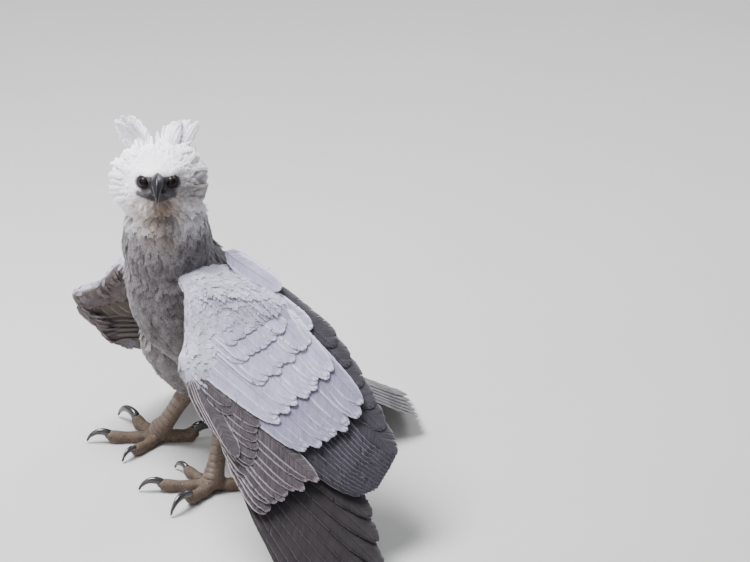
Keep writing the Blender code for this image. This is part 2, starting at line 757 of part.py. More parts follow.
class Wing:
    """Where one wing's bones, surface and feathers lie."""

    def __init__(self, places):
        self.side = places["side"]
        flip = np.array((self.side, 1.0, 1.0))
        self.shoulder, self.flank, self.elbow, self.wrist, self.hand_tip = (
            np.array(places[key]) * flip for key in ("shoulder", "flank", "elbow", "wrist", "hand_tip")
        )
        self.lie = {key: unit(places[key]) * flip for key in places if key.endswith("feathers")}
        self.arm_lead = unit(self.wrist - self.elbow)
        self.hand_lead = unit(self.hand_tip - self.wrist)
        up = np.cross(self.arm_lead, self.lie["elbow_feathers"])
        self.up = unit(up) * (1 if up[2] > 0 else -1)
        for key, way in self.lie.items():
            self.lie[key] = unit(way - self.up * np.dot(way, self.up))
        self.skin = None

    def arm_direction(self, t):
        """The lie of the feathers: t from 0 at the wrist to 1 at the elbow and 2 at the flank."""
        ends = ("wrist_feathers", "elbow_feathers") if t <= 1 else ("elbow_feathers", "flank_feathers")
        way = blend(self.lie[ends[0]], self.lie[ends[1]], t if t <= 1 else t - 1)
        return unit(way + self.up * ARM_TWIST * min(t, 1.0))

    def hand_direction(self, t):
        """The lie of the feathers on the hand: t from 0 at the wrist to 1 at its tip."""
        return blend(self.lie["inner_hand_feathers"], self.lie["outer_hand_feathers"], t)

    def arm(self, t, back, height=0.0):
        """A place on the arm: t as above, back along the feathers, height above the bones."""
        first, second, share = (self.wrist, self.elbow, t) if t <= 1 else (self.elbow, self.flank, t - 1)
        return first * (1 - share) + second * share + self.arm_direction(t) * back + self.up * height

    def level_arm(self, t, back, height=0.0):
        """A place on the arm at this height above the plane of the forearm's feathers."""
        place = self.arm(t, back)
        return place + self.up * (height - np.dot(place - self.elbow, self.up))

    def hand(self, t, back, height=0.0):
        """A place on the hand: t as above."""
        line = self.wrist * (1 - t) + self.hand_tip * t
        return line + self.hand_direction(t) * back + self.up * height

    def surface(self, name):
        """The arm and hand with their skin, from inside the trunk to the tip of the hand."""
        inward = np.array((-0.022 * self.side, 0.0, 0.0))
        sections = (
            (self.shoulder + inward, self.arm(2.0, 0.04) + inward, 0.016, 0.040),
            (self.shoulder * 0.8 + self.wrist * 0.2, self.arm(1.5, 0.07), 0.022, 0.048),
            (self.shoulder * 0.52 + self.wrist * 0.48, self.arm(1.0, 0.084), 0.010, 0.046),
            (self.shoulder * 0.22 + self.wrist * 0.78, self.arm(0.5, 0.088), 0.000, 0.042),
            (self.wrist + self.arm_lead * 0.020, self.arm(0.0, 0.080), 0.000, 0.036),
            (self.hand(0.5, 0) + self.arm_lead * 0.012, self.hand(0.5, 0.056), -0.004, 0.027),
            (self.hand(0.92, 0) + self.arm_lead * 0.008, self.hand(0.92, 0.034), -0.007, 0.019),
            (self.hand(1.07, 0), self.hand(1.07, 0.022), -0.0085, 0.010),
        )
        profile = ((0.0, 0.0), (0.08, 0.62), (0.32, 1.0), (0.7, 0.62), (1.0, 0.08))
        points = []
        for front, back, height, thick in sections:
            front, back = front + self.up * height, back + self.up * height
            upper = [front + (back - front) * u + self.up * thick * h / 2 for u, h in profile]
            lower = [front + (back - front) * u - self.up * thick * h / 2 for u, h in profile[:0:-1]]
            points += upper + lower
        count = 2 * len(profile) - 1
        faces = [tuple(range(count)), tuple(range((len(sections) - 1) * count, len(sections) * count))]
        for a in range(0, (len(sections) - 1) * count, count):
            for j in range(count):
                k = (j + 1) % count
                faces.append((a + j, a + k, a + count + k, a + count + j))
        self.skin = BVHTree.FromPolygons([tuple(point) for point in points], faces)
        return mesh_object(name, points, faces)

    def rooted(self, place, depth=0.002):
        """The place itself or, where that lies above the skin, the one just below the skin under it."""
        hit = self.skin.ray_cast(tuple(place + self.up * 0.1), tuple(-self.up), 0.2)[0]
        above = np.dot(place - np.array(hit), self.up) + depth if hit else 0.0
        return place - self.up * max(above, 0.0)

    def vane(self, root, along, length, width, outline, tilt, rest=0.0003):
        """One feather of this wing."""
        return feather(root, along, self.up, self.arm_lead, length, width, outline, tilt, 0.0, rest)

    def primaries(self):
        """The long feathers of the hand, the inner ones lying over the outer."""
        vanes = []
        last = len(PRIMARY_LENGTHS) - 1
        for i, length in enumerate(PRIMARY_LENGTHS):
            t = 0.12 + 0.88 * i / last
            root = self.hand(t, 0.012, -0.005 - 0.0009 * i)
            along = unit(self.hand_direction(t) - self.up * (0.010 + 0.0014 * i))
            width = PRIMARY_WIDTH * (0.82 if i == last else 1.0)
            rest = 0.0003 + 0.0011 * (last - i)
            vanes.append(self.vane(root, along, length, width, FLIGHT_OUTLINE, 2.5, rest))
        return vanes

    def secondaries(self):
        """Broad feathers along the forearm, and shorter ones with rounded ends from elbow to flank."""
        vanes = []
        for i in range(SECONDARIES + len(TERTIAL_LENGTHS)):
            inner = max(0, i - SECONDARIES + 1)
            t = 0.03 + 0.97 * i / (SECONDARIES - 1) if inner == 0 else 1 + 0.2 * inner
            root = self.level_arm(t, 0.010, 0.0012 * inner)
            length = TERTIAL_LENGTHS[inner - 1] if inner else SECONDARY_LENGTH * (1.0 - 0.02 * abs(i - 3) / 3)
            along = self.arm_direction(t)
            vanes.append(self.vane(root, along, length, SECONDARY_WIDTH, FLIGHT_OUTLINE, COVERT_TILT))
        return vanes

    def tier(self, place, direction, sizes):
        """One tier of coverts, on the arm or the hand as place and direction say."""
        count, start, end, back, rise, length, width, fall, outline = sizes
        vanes = []
        for i in range(count):
            share = i / (count - 1)
            t = start + (end - start) * share
            height = rise[0] * (1 - share) + rise[1] * share
            root = self.rooted(place(t, back) + self.up * height)
            size = (length[0] * (1 - share) + length[1] * share) * rng.uniform(0.96, 1.04)
            along = unit(direction(t) - self.up * fall / size)
            vanes.append(self.vane(root, along, size, width, outline, COVERT_TILT))
        return vanes

    def coverts(self):
        """The tiers on the hand and, from the long ones over the flight feathers forward, on the arm."""
        vanes = []
        for sizes in HAND_TIERS:
            vanes += self.tier(self.hand, self.hand_direction, sizes)
        for sizes in ARM_TIERS:
            vanes += self.tier(self.level_arm, self.arm_direction, sizes)
        return vanes

    def alula(self):
        """The short stiff feathers of the thumb."""
        vanes = []
        for i in range(2):
            root = self.rooted(self.hand(0.26, -0.004, 0.012) + self.arm_lead * (0.004 + 0.003 * i))
            along = unit(self.hand_lead * 0.7 + self.hand_direction(1.0) * 0.3 + self.up * (0.02 - 0.015 * i))
            vanes.append(self.vane(root, along, 0.155 - 0.03 * i, 0.028, COVERT_OUTLINE, 2.0))
        return vanes

    def scapulars(self):
        """The broad feathers of the shoulder, which lie over the inner end of the wing."""
        vanes = []
        for count, start, end, along_shoulder, length, width, rise in SCAPULAR_ROWS:
            for i in range(count):
                share = i / (count - 1)
                t = start + (end - start) * share
                line = self.shoulder * along_shoulder + self.arm(t, 0.0) * (1 - along_shoulder)
                root = self.rooted(line + self.up * rise, 0.003)
                along = unit(self.arm_direction(t) + self.up * 0.02)
                vanes.append(self.vane(root, along, length, width, COVERT_OUTLINE, COVERT_TILT))
        return vanes

    def make(self, name):
        """The whole wing as one closed object."""
        pieces = [self.surface(name), *self.primaries(), *self.secondaries(), *self.coverts()]
        pieces += [*self.alula(), *self.scapulars()]
        return fuse(name, pieces)


def rest_on_origin(nodes):
    """Moves all nodes so that the origin is at the bottom centre of their bounding box."""
    corners = np.array([vert.co for node in nodes for vert in node.data.vertices])
    low, high = corners.min(axis=0), corners.max(axis=0)
    shift = np.array(((low[0] + high[0]) / 2, (low[1] + high[1]) / 2, low[2]))
    for node in nodes:
        for vert in node.data.vertices:
            vert.co = np.array(vert.co) - shift


for old in list(bpy.data.objects):
    bpy.data.objects.remove(old, do_unlink=True)

torso = limb("torso", TORSO_ROWS, (1, 0, 0), 20, 2)
neck = limb("neck", NECK_ROWS, (1, 0, 0), 20, 2)
clear_of(neck, [torso])
head, eyes, upper_bill, lower_bill = make_head()
clear_of(head, [neck])

thighs, tarsi, toes = [], [], []
for index, name in enumerate(("right", "left")):
    thigh, tarsus, own_toes = make_leg(index, name)
    clear_of(thigh, [torso])
    thighs.append(thigh)
    tarsi.append(tarsus)
    toes += own_toes

tail = make_tail()
stand_flat(tail)
clear_of(tail, [torso])

wings = []
for places, name in ((LEFT_WING, "left_wing"), (RIGHT_WING, "right_wing")):
    wing = Wing(places).make(name)
    stand_flat(wing)
    clear_of(wing, [torso, neck])
    wings.append(wing)

finished = {
    "white_feather": [head, *thighs],
    "grey_feather": [torso, neck],
    "covert_feather": wings,
    "dark_feather": [tail],
    "bare_skin": [*tarsi, *(node for node in toes if "toe" in node.name)],
    "horn": [upper_bill, lower_bill, *(node for node in toes if "claw" in node.name)],
    "eye": eyes,
}
for slot, nodes in finished.items():
    for node in nodes:
        finish(node, slot)
rest_on_origin([node for nodes in finished.values() for node in nodes])
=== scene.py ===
import bpy
import numpy as np
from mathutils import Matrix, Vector
from mathutils.bvhtree import BVHTree
from mathutils.kdtree import KDTree


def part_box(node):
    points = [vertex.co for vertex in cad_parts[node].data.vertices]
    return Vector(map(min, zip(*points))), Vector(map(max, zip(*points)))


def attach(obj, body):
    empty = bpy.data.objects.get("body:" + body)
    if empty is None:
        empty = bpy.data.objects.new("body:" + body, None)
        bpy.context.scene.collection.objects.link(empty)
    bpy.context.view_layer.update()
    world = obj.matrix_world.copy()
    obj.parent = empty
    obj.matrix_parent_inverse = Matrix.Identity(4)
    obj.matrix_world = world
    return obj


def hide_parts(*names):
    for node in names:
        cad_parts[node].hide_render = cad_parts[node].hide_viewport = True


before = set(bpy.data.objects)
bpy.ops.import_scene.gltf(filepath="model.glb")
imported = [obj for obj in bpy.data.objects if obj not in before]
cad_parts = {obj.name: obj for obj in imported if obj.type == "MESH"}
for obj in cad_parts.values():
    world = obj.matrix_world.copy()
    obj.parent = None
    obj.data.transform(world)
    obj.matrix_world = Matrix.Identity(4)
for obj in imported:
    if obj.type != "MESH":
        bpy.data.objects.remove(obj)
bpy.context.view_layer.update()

# The skin: one seamless hide from the bill's root to the toes, the wings' arms and the tail's root.
# It lies under the feathers, so it is a coat's depth inside the bird's outline, and it is bare only on
# the legs, the toes and round the bill. It stands for every node of flesh.
COAT = 0.006
# Bodies round a line: x, y and z of its points, half the width and half the depth there.
TRUNK_ROWS = (
    (0.006, -0.052, 0.470, 0.000, 0.000),
    (0.006, -0.048, 0.450, 0.058, 0.056),
    (0.007, -0.040, 0.412, 0.084, 0.079),
    (0.009, -0.026, 0.362, 0.091, 0.094),
    (0.012, -0.008, 0.312, 0.092, 0.097),
    (0.016, 0.018, 0.268, 0.085, 0.084),
    (0.016, 0.052, 0.238, 0.067, 0.062),
    (0.014, 0.086, 0.221, 0.047, 0.041),
    (0.012, 0.109, 0.208, 0.030, 0.026),
    (0.012, 0.122, 0.200, 0.000, 0.000),
)
NECK_ROWS = (
    (0.010, -0.040, 0.350, 0.000, 0.000),
    (0.010, -0.043, 0.385, 0.070, 0.066),
    (0.011, -0.046, 0.425, 0.081, 0.077),
    (0.012, -0.049, 0.462, 0.077, 0.074),
    (0.012, -0.053, 0.495, 0.069, 0.067),
    (0.012, -0.057, 0.520, 0.052, 0.052),
    (0.012, -0.059, 0.542, 0.000, 0.000),
)
HEAD_CENTRE = (0.011, -0.060, 0.545)
# Degrees that the face turns to the bird's left, and up.
HEAD_TURN = (56.0, 24.0)
# The skull from back to front: forward and up from its centre, half the width and half the height.
SKULL_ROWS = (
    (-0.062, 0.008, 0.000, 0.000),
    (-0.053, 0.008, 0.036, 0.033),
    (-0.034, 0.004, 0.057, 0.051),
    (-0.010, 0.000, 0.068, 0.060),
    (0.014, -0.001, 0.067, 0.060),
    (0.032, -0.001, 0.056, 0.052),
    (0.047, 0.000, 0.042, 0.040),
    (0.058, 0.000, 0.029, 0.029),
    (0.064, -0.002, 0.017, 0.019),
    (0.067, -0.004, 0.000, 0.000),
)
EYE_PLACE = (0.0560, 0.0205, 0.003)
# Ridges over each eye and at each corner of the mouth: forward, outward, up, half-width, half-height.
FACE_RIDGES = {
    "brow": (
        (0.058, 0.006, 0.010, 0.0, 0.0),
        (0.060, 0.014, 0.0135, 0.005, 0.0042),
        (0.056, 0.024, 0.0155, 0.007, 0.0048),
        (0.046, 0.035, 0.0150, 0.006, 0.0040),
        (0.036, 0.042, 0.0130, 0.0, 0.0),
    ),
    "gape": (
        (0.062, 0.006, -0.014, 0.0, 0.0),
        (0.060, 0.014, -0.0155, 0.0050, 0.0040),
        (0.053, 0.025, -0.0175, 0.0048, 0.0040),
        (0.043, 0.035, -0.0185, 0.0034, 0.0032),
        (0.035, 0.040, -0.0185, 0.0, 0.0),
    ),
}
# The legs' joints, the right leg's first.
HIPS = ((-0.033, 0.030, 0.292), (0.066, 0.042, 0.290))
KNEES = ((-0.040, -0.022, 0.236), (0.076, -0.018, 0.236))
HOCKS = ((-0.040, 0.019, 0.118), (0.078, 0.016, 0.118))
FEET = ((-0.100, 0.000, 0.020), (0.100, -0.020, 0.020))
TARSUS_HALF_SIZES = (0.0140, 0.0155)
FOOT_TURN = 32.0
# Toes: degrees from straight ahead, length, thickness, and the claw's length and thickness.
TOES = (
    (180.0, 0.064, 0.0115, 0.074, 0.0092),
    (-52.0, 0.072, 0.0112, 0.064, 0.0084),
    (0.0, 0.094, 0.0104, 0.048, 0.0070),
    (50.0, 0.074, 0.0096, 0.040, 0.0060),
)
CLAW_RISE = 35.0
CLAW_CURVE = 110.0
TAIL_ROOT = np.array((0.012, 0.104, 0.212))
TAIL_DIRECTION = (0.0, 0.845, -0.535)
# The wings: places on the bones, outward, back and up, and which way the feathers on them lie.
LEFT_WING = {
    "side": 1,
    "shoulder": (0.075, -0.066, 0.392),
    "flank": (0.066, 0.034, 0.400),
    "elbow": (0.140, 0.050, 0.362),
    "wrist": (0.182, -0.124, 0.308),
    "hand_tip": (0.296, -0.117, 0.207),
    "flank_feathers": (0.500, 0.600, -0.620),
    "elbow_feathers": (0.744, 0.253, -0.619),
    "wrist_feathers": (0.680, 0.490, -0.550),
    "inner_hand_feathers": (0.663, 0.529, -0.530),
    "outer_hand_feathers": (0.790, 0.020, -0.610),
}
RIGHT_WING = {
    "side": -1,
    "shoulder": (0.068, -0.064, 0.358),
    "flank": (0.064, 0.046, 0.358),
    "elbow": (0.124, 0.054, 0.316),
    "wrist": (0.162, -0.114, 0.290),
    "hand_tip": (0.190, -0.050, 0.180),
    "flank_feathers": (0.060, 0.790, -0.610),
    "elbow_feathers": (0.200, 0.750, -0.630),
    "wrist_feathers": (0.300, 0.700, -0.650),
    "inner_hand_feathers": (0.060, 0.920, -0.360),
    "outer_hand_feathers": (0.050, 0.930, -0.340),
}
# How much the feathers of the elbow stand up more than those of the wrist.
ARM_TWIST = 0.018
# A wing's section from its front edge back: share of its depth, and of half its thickness.
WING_PROFILE = (
    (0.0, 0.0), (0.03, 0.40), (0.10, 0.72), (0.2, 0.92), (0.34, 1.0), (0.55, 0.84), (0.8, 0.45), (1.0, 0.08),
)
# How far from the arm its skin is looked for, and how fine the skin's mesh is.
SKIN_SEARCH = 0.1
SKIN_MESH_STEP = 0.0023


def unit(vectors):
    """Vectors at length 1."""
    vectors = np.asarray(vectors, float)
    return vectors / np.linalg.norm(vectors, axis=-1, keepdims=True)


def blend(first, second, t):
    """The direction the share t of the way from the first to the second."""
    return unit(np.asarray(first, float) * (1 - t) + np.asarray(second, float) * t)


def smooth(rows, steps):
    """Rows of numbers made finer along a curve through them all."""
    rows = np.asarray(rows, float)
    ends = np.vstack([2 * rows[0] - rows[1], rows, 2 * rows[-1] - rows[-2]])
    fine = []
    for a, b, c, d in zip(ends, ends[1:], ends[2:], ends[3:]):
        for t in np.arange(steps) / steps:
            cubic = (3 * b - a - 3 * c + d) * t**3
            square = (2 * a - 5 * b + 4 * c - d) * t**2
            fine.append(0.5 * (2 * b + (c - a) * t + square + cubic))
    return np.array(fine + [rows[-1]])


turn, nod = np.radians(HEAD_TURN)
face_forward = np.array((np.sin(turn) * np.cos(nod), -np.cos(turn) * np.cos(nod), np.sin(nod)))
face_left = np.array((np.cos(turn), np.sin(turn), 0.0))
face_up = np.cross(face_forward, face_left)
head_axes = np.array((face_forward, face_left, face_up))


def in_head(forward, left, up):
    """The point at these distances from the head's centre."""
    return np.array(HEAD_CENTRE) + face_forward * forward + face_left * left + face_up * up


# The solids were moved so that their box's bottom centre is the origin, and the scene moves with them.
eye_box = np.array(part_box("left_eye"))
ORIGIN = eye_box.mean(axis=0) - in_head(*EYE_PLACE)


def tube(rows, across, sides, steps, inset=0.0, ridge=None):
    """Points and faces of a rounded body through rows of x, y, z, half-width and half-depth.

    ridge gives a factor on the radius for each angle, so that a section needn't be an ellipse.
    """
    rows = np.array(rows, float)
    rows[1:-1, 3:] = np.maximum(rows[1:-1, 3:] - inset, 0.002)
    rows[:, 3:] **= 2
    fine = smooth(rows, steps)
    centres = fine[:, :3]
    radii = np.sqrt(np.clip(fine[:, 3:], 0, None))
    tangents = unit(np.gradient(centres, axis=0))
    turns = 2 * np.pi * np.arange(sides) / sides
    factor = np.ones(sides) if ridge is None else ridge(turns)
    points = [centres[0]]
    for centre, (wide, deep), tangent in zip(centres[1:-1], radii[1:-1], tangents[1:-1]):
        side = unit(np.asarray(across, float) - tangent * np.dot(across, tangent))
        front = np.cross(tangent, side)
        for angle, scale in zip(turns, factor):
            offset = side * wide * np.cos(angle) + front * deep * np.sin(angle)
            points.append(centre + offset * scale)
    points.append(centres[-1])
    rings = len(fine) - 2
    last = 1 + rings * sides
    faces = []
    for j in range(sides):
        k = (j + 1) % sides
        faces += [(0, 1 + k, 1 + j), (last, last - sides + j, last - sides + k)]
        for i in range(rings - 1):
            a = 1 + i * sides
            faces.append((a + j, a + k, a + sides + k, a + sides + j))
    return np.array(points), faces


def make_piece(name, points, faces):
    """A smooth-shaded object from points round the bird and faces, moved to where the solids stand."""
    mesh = bpy.data.meshes.new(name)
    mesh.from_pydata((np.asarray(points) + ORIGIN).tolist(), [], faces)
    mesh.polygons.foreach_set("use_smooth", np.ones(len(mesh.polygons), bool))
    mesh.update()
    made = bpy.data.objects.new(name, mesh)
    bpy.context.scene.collection.objects.link(made)
    return made


def apply_modifiers(piece):
    """Makes what the modifiers do the mesh itself."""
    graph = bpy.context.evaluated_depsgraph_get()
    result = bpy.data.meshes.new_from_object(piece.evaluated_get(graph))
    piece.modifiers.clear()
    piece.data = result


class Wing:
    """Where one wing's bones, surface and feathers lie."""

    def __init__(self, places):
        self.side = places["side"]
        flip = np.array((self.side, 1.0, 1.0))
        self.shoulder, self.flank, self.elbow, self.wrist, self.hand_tip = (
            np.array(places[key]) * flip for key in ("shoulder", "flank", "elbow", "wrist", "hand_tip")
        )
        self.lie = {key: unit(places[key]) * flip for key in places if key.endswith("feathers")}
        self.arm_lead = unit(self.wrist - self.elbow)
        self.hand_lead = unit(self.hand_tip - self.wrist)
        up = np.cross(self.arm_lead, self.lie["elbow_feathers"])
        self.up = unit(up) * (1 if up[2] > 0 else -1)
        for key, way in self.lie.items():
            self.lie[key] = unit(way - self.up * np.dot(way, self.up))
        self.skin = None

    def arm_direction(self, t):
        """The lie of the feathers: t from 0 at the wrist to 1 at the elbow and 2 at the flank."""
        ends = ("wrist_feathers", "elbow_feathers") if t <= 1 else ("elbow_feathers", "flank_feathers")
        way = blend(self.lie[ends[0]], self.lie[ends[1]], t if t <= 1 else t - 1)
        return unit(way + self.up * ARM_TWIST * min(t, 1.0))

    def hand_direction(self, t):
        """The lie of the feathers on the hand: t from 0 at the wrist to 1 at its tip."""
        return blend(self.lie["inner_hand_feathers"], self.lie["outer_hand_feathers"], t)

    def arm(self, t, back, height=0.0):
        """A place on the arm: t as above, back along the feathers, height above the bones."""
        first, second, share = (self.wrist, self.elbow, t) if t <= 1 else (self.elbow, self.flank, t - 1)
        return first * (1 - share) + second * share + self.arm_direction(t) * back + self.up * height

    def level_arm(self, t, back, height=0.0):
        """A place on the arm at this height above the plane of the forearm's feathers."""
        place = self.arm(t, back)
        return place + self.up * (height - np.dot(place - self.elbow, self.up))

    def hand(self, t, back, height=0.0):
        """A place on the hand: t as above."""
        line = self.wrist * (1 - t) + self.hand_tip * t
        return line + self.hand_direction(t) * back + self.up * height

    def surface(self):
        """Points and faces of the arm and hand with their skin, from inside the trunk to the hand's tip."""
        inward = np.array((-0.022 * self.side, 0.0, 0.0))
        sections = np.array([
            (*(self.shoulder + inward), *(self.arm(2.0, 0.04) + inward), 0.016, 0.036),
            (*(self.shoulder * 0.8 + self.wrist * 0.2), *self.arm(1.5, 0.07), 0.022, 0.042),
            (*(self.shoulder * 0.52 + self.wrist * 0.48), *self.arm(1.0, 0.084), 0.010, 0.039),
            (*(self.shoulder * 0.22 + self.wrist * 0.78), *self.arm(0.5, 0.088), 0.000, 0.034),
            (*(self.wrist + self.arm_lead * 0.016), *self.arm(0.0, 0.080), 0.000, 0.028),
            (*(self.hand(0.5, 0) + self.arm_lead * 0.009), *self.hand(0.5, 0.056), -0.004, 0.021),
            (*(self.hand(0.92, 0) + self.arm_lead * 0.005), *self.hand(0.92, 0.034), -0.007, 0.014),
            (*self.hand(1.05, 0), *self.hand(1.05, 0.020), -0.008, 0.007),
        ])
        sections = smooth(sections, 3)
        points = []
        for row in sections:
            front, back, height, thick = row[:3], row[3:6], row[6], row[7]
            front, back = front + self.up * height, back + self.up * height
            points += [front + (back - front) * u + self.up * thick * h / 2 for u, h in WING_PROFILE]
            points += [front + (back - front) * u - self.up * thick * h / 2 for u, h in WING_PROFILE[:0:-1]]
        count = 2 * len(WING_PROFILE) - 1
        faces = [tuple(range(count)), tuple(range((len(sections) - 1) * count, len(sections) * count))]
        for a in range(0, (len(sections) - 1) * count, count):
            for j in range(count):
                k = (j + 1) % count
                faces.append((a + j, a + k, a + count + k, a + count + j))
        self.skin = BVHTree.FromPolygons([tuple(point) for point in points], faces)
        return np.array(points), faces

    def skin_at(self, place, facing=1):
        """The upper skin over or under the place, or the lower skin where facing is -1, or None."""
        start = place + self.up * facing * SKIN_SEARCH
        return self.skin.ray_cast(tuple(start), tuple(-self.up * facing), 2 * SKIN_SEARCH)[0]

    def rooted(self, place, depth=0.002):
        """The place itself or, where that lies above the skin, the one just below the skin under it."""
        hit = self.skin_at(place)
        above = np.dot(place - np.array(hit), self.up) + depth if hit else 0.0
        return place - self.up * max(above, 0.0)


def leg_rows(index):
    """The rows of one leg's feathered thigh and bare tarsus."""
    hip, knee, hock, foot = (np.array(row[index]) for row in (HIPS, KNEES, HOCKS, FEET))
    wide, deep = TARSUS_HALF_SIZES
    down = unit(foot - hock)
    thigh = (
        (*hip, 0.0, 0.0),
        (*(hip * 0.62 + knee * 0.38), 0.046, 0.052),
        (*(knee + (0, 0.006, 0)), 0.050, 0.054),
        (*(knee * 0.62 + hock * 0.38), 0.041, 0.046),
        (*(knee * 0.3 + hock * 0.7), 0.028, 0.033),
        (*(knee * 0.06 + hock * 0.94), 0.0195, 0.021),
        (*(hock + (0, 0.001, -0.008)), 0.0, 0.0),
    )
    tarsus = (
        (*(hock - down * 0.020), 0.0, 0.0),
        (*hock, wide * 1.10, deep * 1.06),
        (*(hock * 0.6 + foot * 0.4), wide * 0.94, deep * 0.96),
        (*(hock * 0.25 + foot * 0.75), wide, deep),
        (*(foot + (0, 0, 0.004)), 0.0185, 0.0185),
        (*(foot + (0, 0, -0.011)), 0.0150, 0.0150),
        (*(foot + (0, 0, -0.0185)), 0.0, 0.0),
    )
    return thigh, tarsus


def toe_layout(index, number):
    """The rows of one toe, its direction, and where and how its claw starts."""
    angle, length, thick, claw_length, claw_thick = TOES[number]
    side = -1 if index == 0 else 1
    foot = np.array(FEET[index])
    heading = np.radians(FOOT_TURN) + np.radians(angle * side)
    out = np.array((-np.sin(heading), -np.cos(heading), 0.0))
    rise, curve = np.radians((CLAW_RISE, CLAW_CURVE))
    radius = claw_length / curve
    start_height = 0.003 + radius * (np.cos(rise) - np.cos(rise - curve))
    ground = np.array((foot[0], foot[1], 0.0))
    rows = []
    for share, height, wide, high in (
        (-0.02, 0.018, 0.0, 0.0),
        (0.12, 0.016, 1.05, 1.05),
        (0.28, thick * 1.02, 0.96, 0.90),
        (0.42, thick * 0.98, 1.06, 0.98),
        (0.60, thick * 1.02, 0.84, 0.90),
        (0.78, thick * 1.06, 1.02, 1.06),
        (0.93, start_height * 0.86, 0.86, 0.88),
        (1.03, start_height, 0.0, 0.0),
    ):
        rows.append((*(ground + out * length * share + (0, 0, height)), thick * wide, thick * high))
    claw_root = ground + out * (length * 0.93) + (0, 0, start_height)
    return rows, out, claw_root, radius, claw_thick


forms = {
    "trunk": tube(TRUNK_ROWS, (1, 0, 0), 32, 4, COAT),
    "neck": tube(NECK_ROWS, (1, 0, 0), 32, 4, COAT),
}
skull_rows = [(*in_head(f, 0, u), wide, high) for f, u, wide, high in SKULL_ROWS]
forms["head"] = tube(skull_rows, face_left, 32, 4)
for side, name in ((1, "left"), (-1, "right")):
    for ridge, rows in FACE_RIDGES.items():
        rows = [(*in_head(f, side * l, u), wide, high) for f, l, u, wide, high in rows]
        forms[f"head_{name}_{ridge}"] = tube(rows, face_up, 12, 4)
for index, name in enumerate(("right", "left")):
    thigh, tarsus = leg_rows(index)
    forms[name + "_thigh"] = tube(thigh, (1, 0, 0), 24, 4, COAT * 0.8)
    forms[name + "_tarsus"] = tube(tarsus, (1, 0, 0), 20, 4)
    for number in range(4):
        rows, out, *_ = toe_layout(index, number)
        across = np.array((out[1], -out[0], 0.0))
        forms[f"{name}_toe_{number + 1}"] = tube(rows, across, 16, 4)
wings = {"left_wing": Wing(LEFT_WING), "right_wing": Wing(RIGHT_WING)}
for name, wing in wings.items():
    forms[name] = wing.surface()
tail_down = unit(TAIL_DIRECTION)
tail_core = (
    (*(TAIL_ROOT - tail_down * 0.030), 0.0, 0.0),
    (*(TAIL_ROOT - tail_down * 0.010), 0.034, 0.025),
    (*(TAIL_ROOT + tail_down * 0.030), 0.034, 0.020),
    (*(TAIL_ROOT + tail_down * 0.070), 0.0, 0.0),
)
forms["tail"] = tube(tail_core, (1, 0, 0), 20, 4, COAT * 0.5)

skin_points, skin_faces = [], []
for points, faces in forms.values():
    start = sum(len(block) for block in skin_points)
    skin_faces += [tuple(start + corner for corner in face) for face in faces]
    skin_points.append(points)
skin = make_piece("skin", np.vstack(skin_points), skin_faces)
remesh = skin.modifiers.new("one_surface", "REMESH")
remesh.mode = "VOXEL"
remesh.voxel_size = SKIN_MESH_STEP
remesh.use_smooth_shade = True
even = skin.modifiers.new("even", "SMOOTH")
even.factor = 0.5
even.iterations = 5
apply_modifiers(skin)

# Where each point of the skin lies: in which form, and which way the feathers on it run.
mesh = skin.data
count = len(mesh.vertices)
hide = np.empty(count * 3)
mesh.vertices.foreach_get("co", hide)
hide = hide.reshape(-1, 3) - ORIGIN
normals = np.empty(count * 3)
mesh.vertices.foreach_get("normal", normals)
normals = unit(normals.reshape(-1, 3))
form_names = list(forms)
nearest = np.full(count, 1.0)
form_of = np.zeros(count, int)
for number, (points, faces) in enumerate(forms.values()):
    tree = BVHTree.FromPolygons([tuple(point) for point in points], faces)
    low, high = points.min(axis=0) - 0.008, points.max(axis=0) + 0.008
    for i in np.nonzero(((hide > low) & (hide < high)).all(axis=1))[0]:
        distance = tree.find_nearest(tuple(hide[i]))[3]
        if distance < nearest[i]:
            nearest[i], form_of[i] = distance, number
form_of = np.array(form_names)[form_of]
head_places = (hide - np.array(HEAD_CENTRE)) @ head_axes.T


def chain_direction(rows, heights):
    """The direction down a chain of rows at these heights."""
    centres = np.array([row[:3] for row in rows])
    ways = unit(np.gradient(centres, axis=0))
    order = np.argsort(centres[:, 2])
    return np.stack([np.interp(heights, centres[order, 2], ways[order, k]) for k in range(3)], axis=1)


flow = np.tile((0.0, 0.3, -0.95), (count, 1))
spine = [(0.012, -0.058, 0.54), (0.012, -0.055, 0.50), (0.010, -0.046, 0.42), *TRUNK_ROWS[3:]]
for name in ("trunk", "neck"):
    chosen = form_of == name
    flow[chosen] = chain_direction(spine, hide[chosen, 2])
for index, name in enumerate(("right_thigh", "left_thigh")):
    chosen = form_of == name
    flow[chosen] = chain_direction(leg_rows(index)[0], hide[chosen, 2])
flow[form_of == "tail"] = tail_down
head_chosen = np.char.startswith(form_of, "head")
bill_root = np.array((0.066, 0.0, -0.008))
away = head_places[head_chosen] - bill_root
away[:, 0] = np.minimum(away[:, 0], 0.0) * 1.6
away[:, 1:] += np.sign(away[:, 1:]) * 0.004
flow[head_chosen] = unit(away @ head_axes)
behind_bones = np.zeros(count)
for name, wing in wings.items():
    stations = [
        (place, direction, t, back)
        for place, direction, line, depths in (
            (wing.arm, wing.arm_direction, np.linspace(0, 2, 21), np.linspace(-0.03, 0.1, 14)),
            (wing.hand, wing.hand_direction, np.linspace(0, 1, 11), np.linspace(-0.01, 0.06, 8)),
        )
        for t in line
        for back in depths
    ]
    lines = KDTree(len(stations))
    for number, (place, _, t, back) in enumerate(stations):
        lines.insert(tuple(place(t, back)), number)
    lines.balance()
    for i in np.nonzero(form_of == name)[0]:
        _, direction, t, back = stations[lines.find(tuple(hide[i]))[1]]
        flow[i], behind_bones[i] = direction(t), back
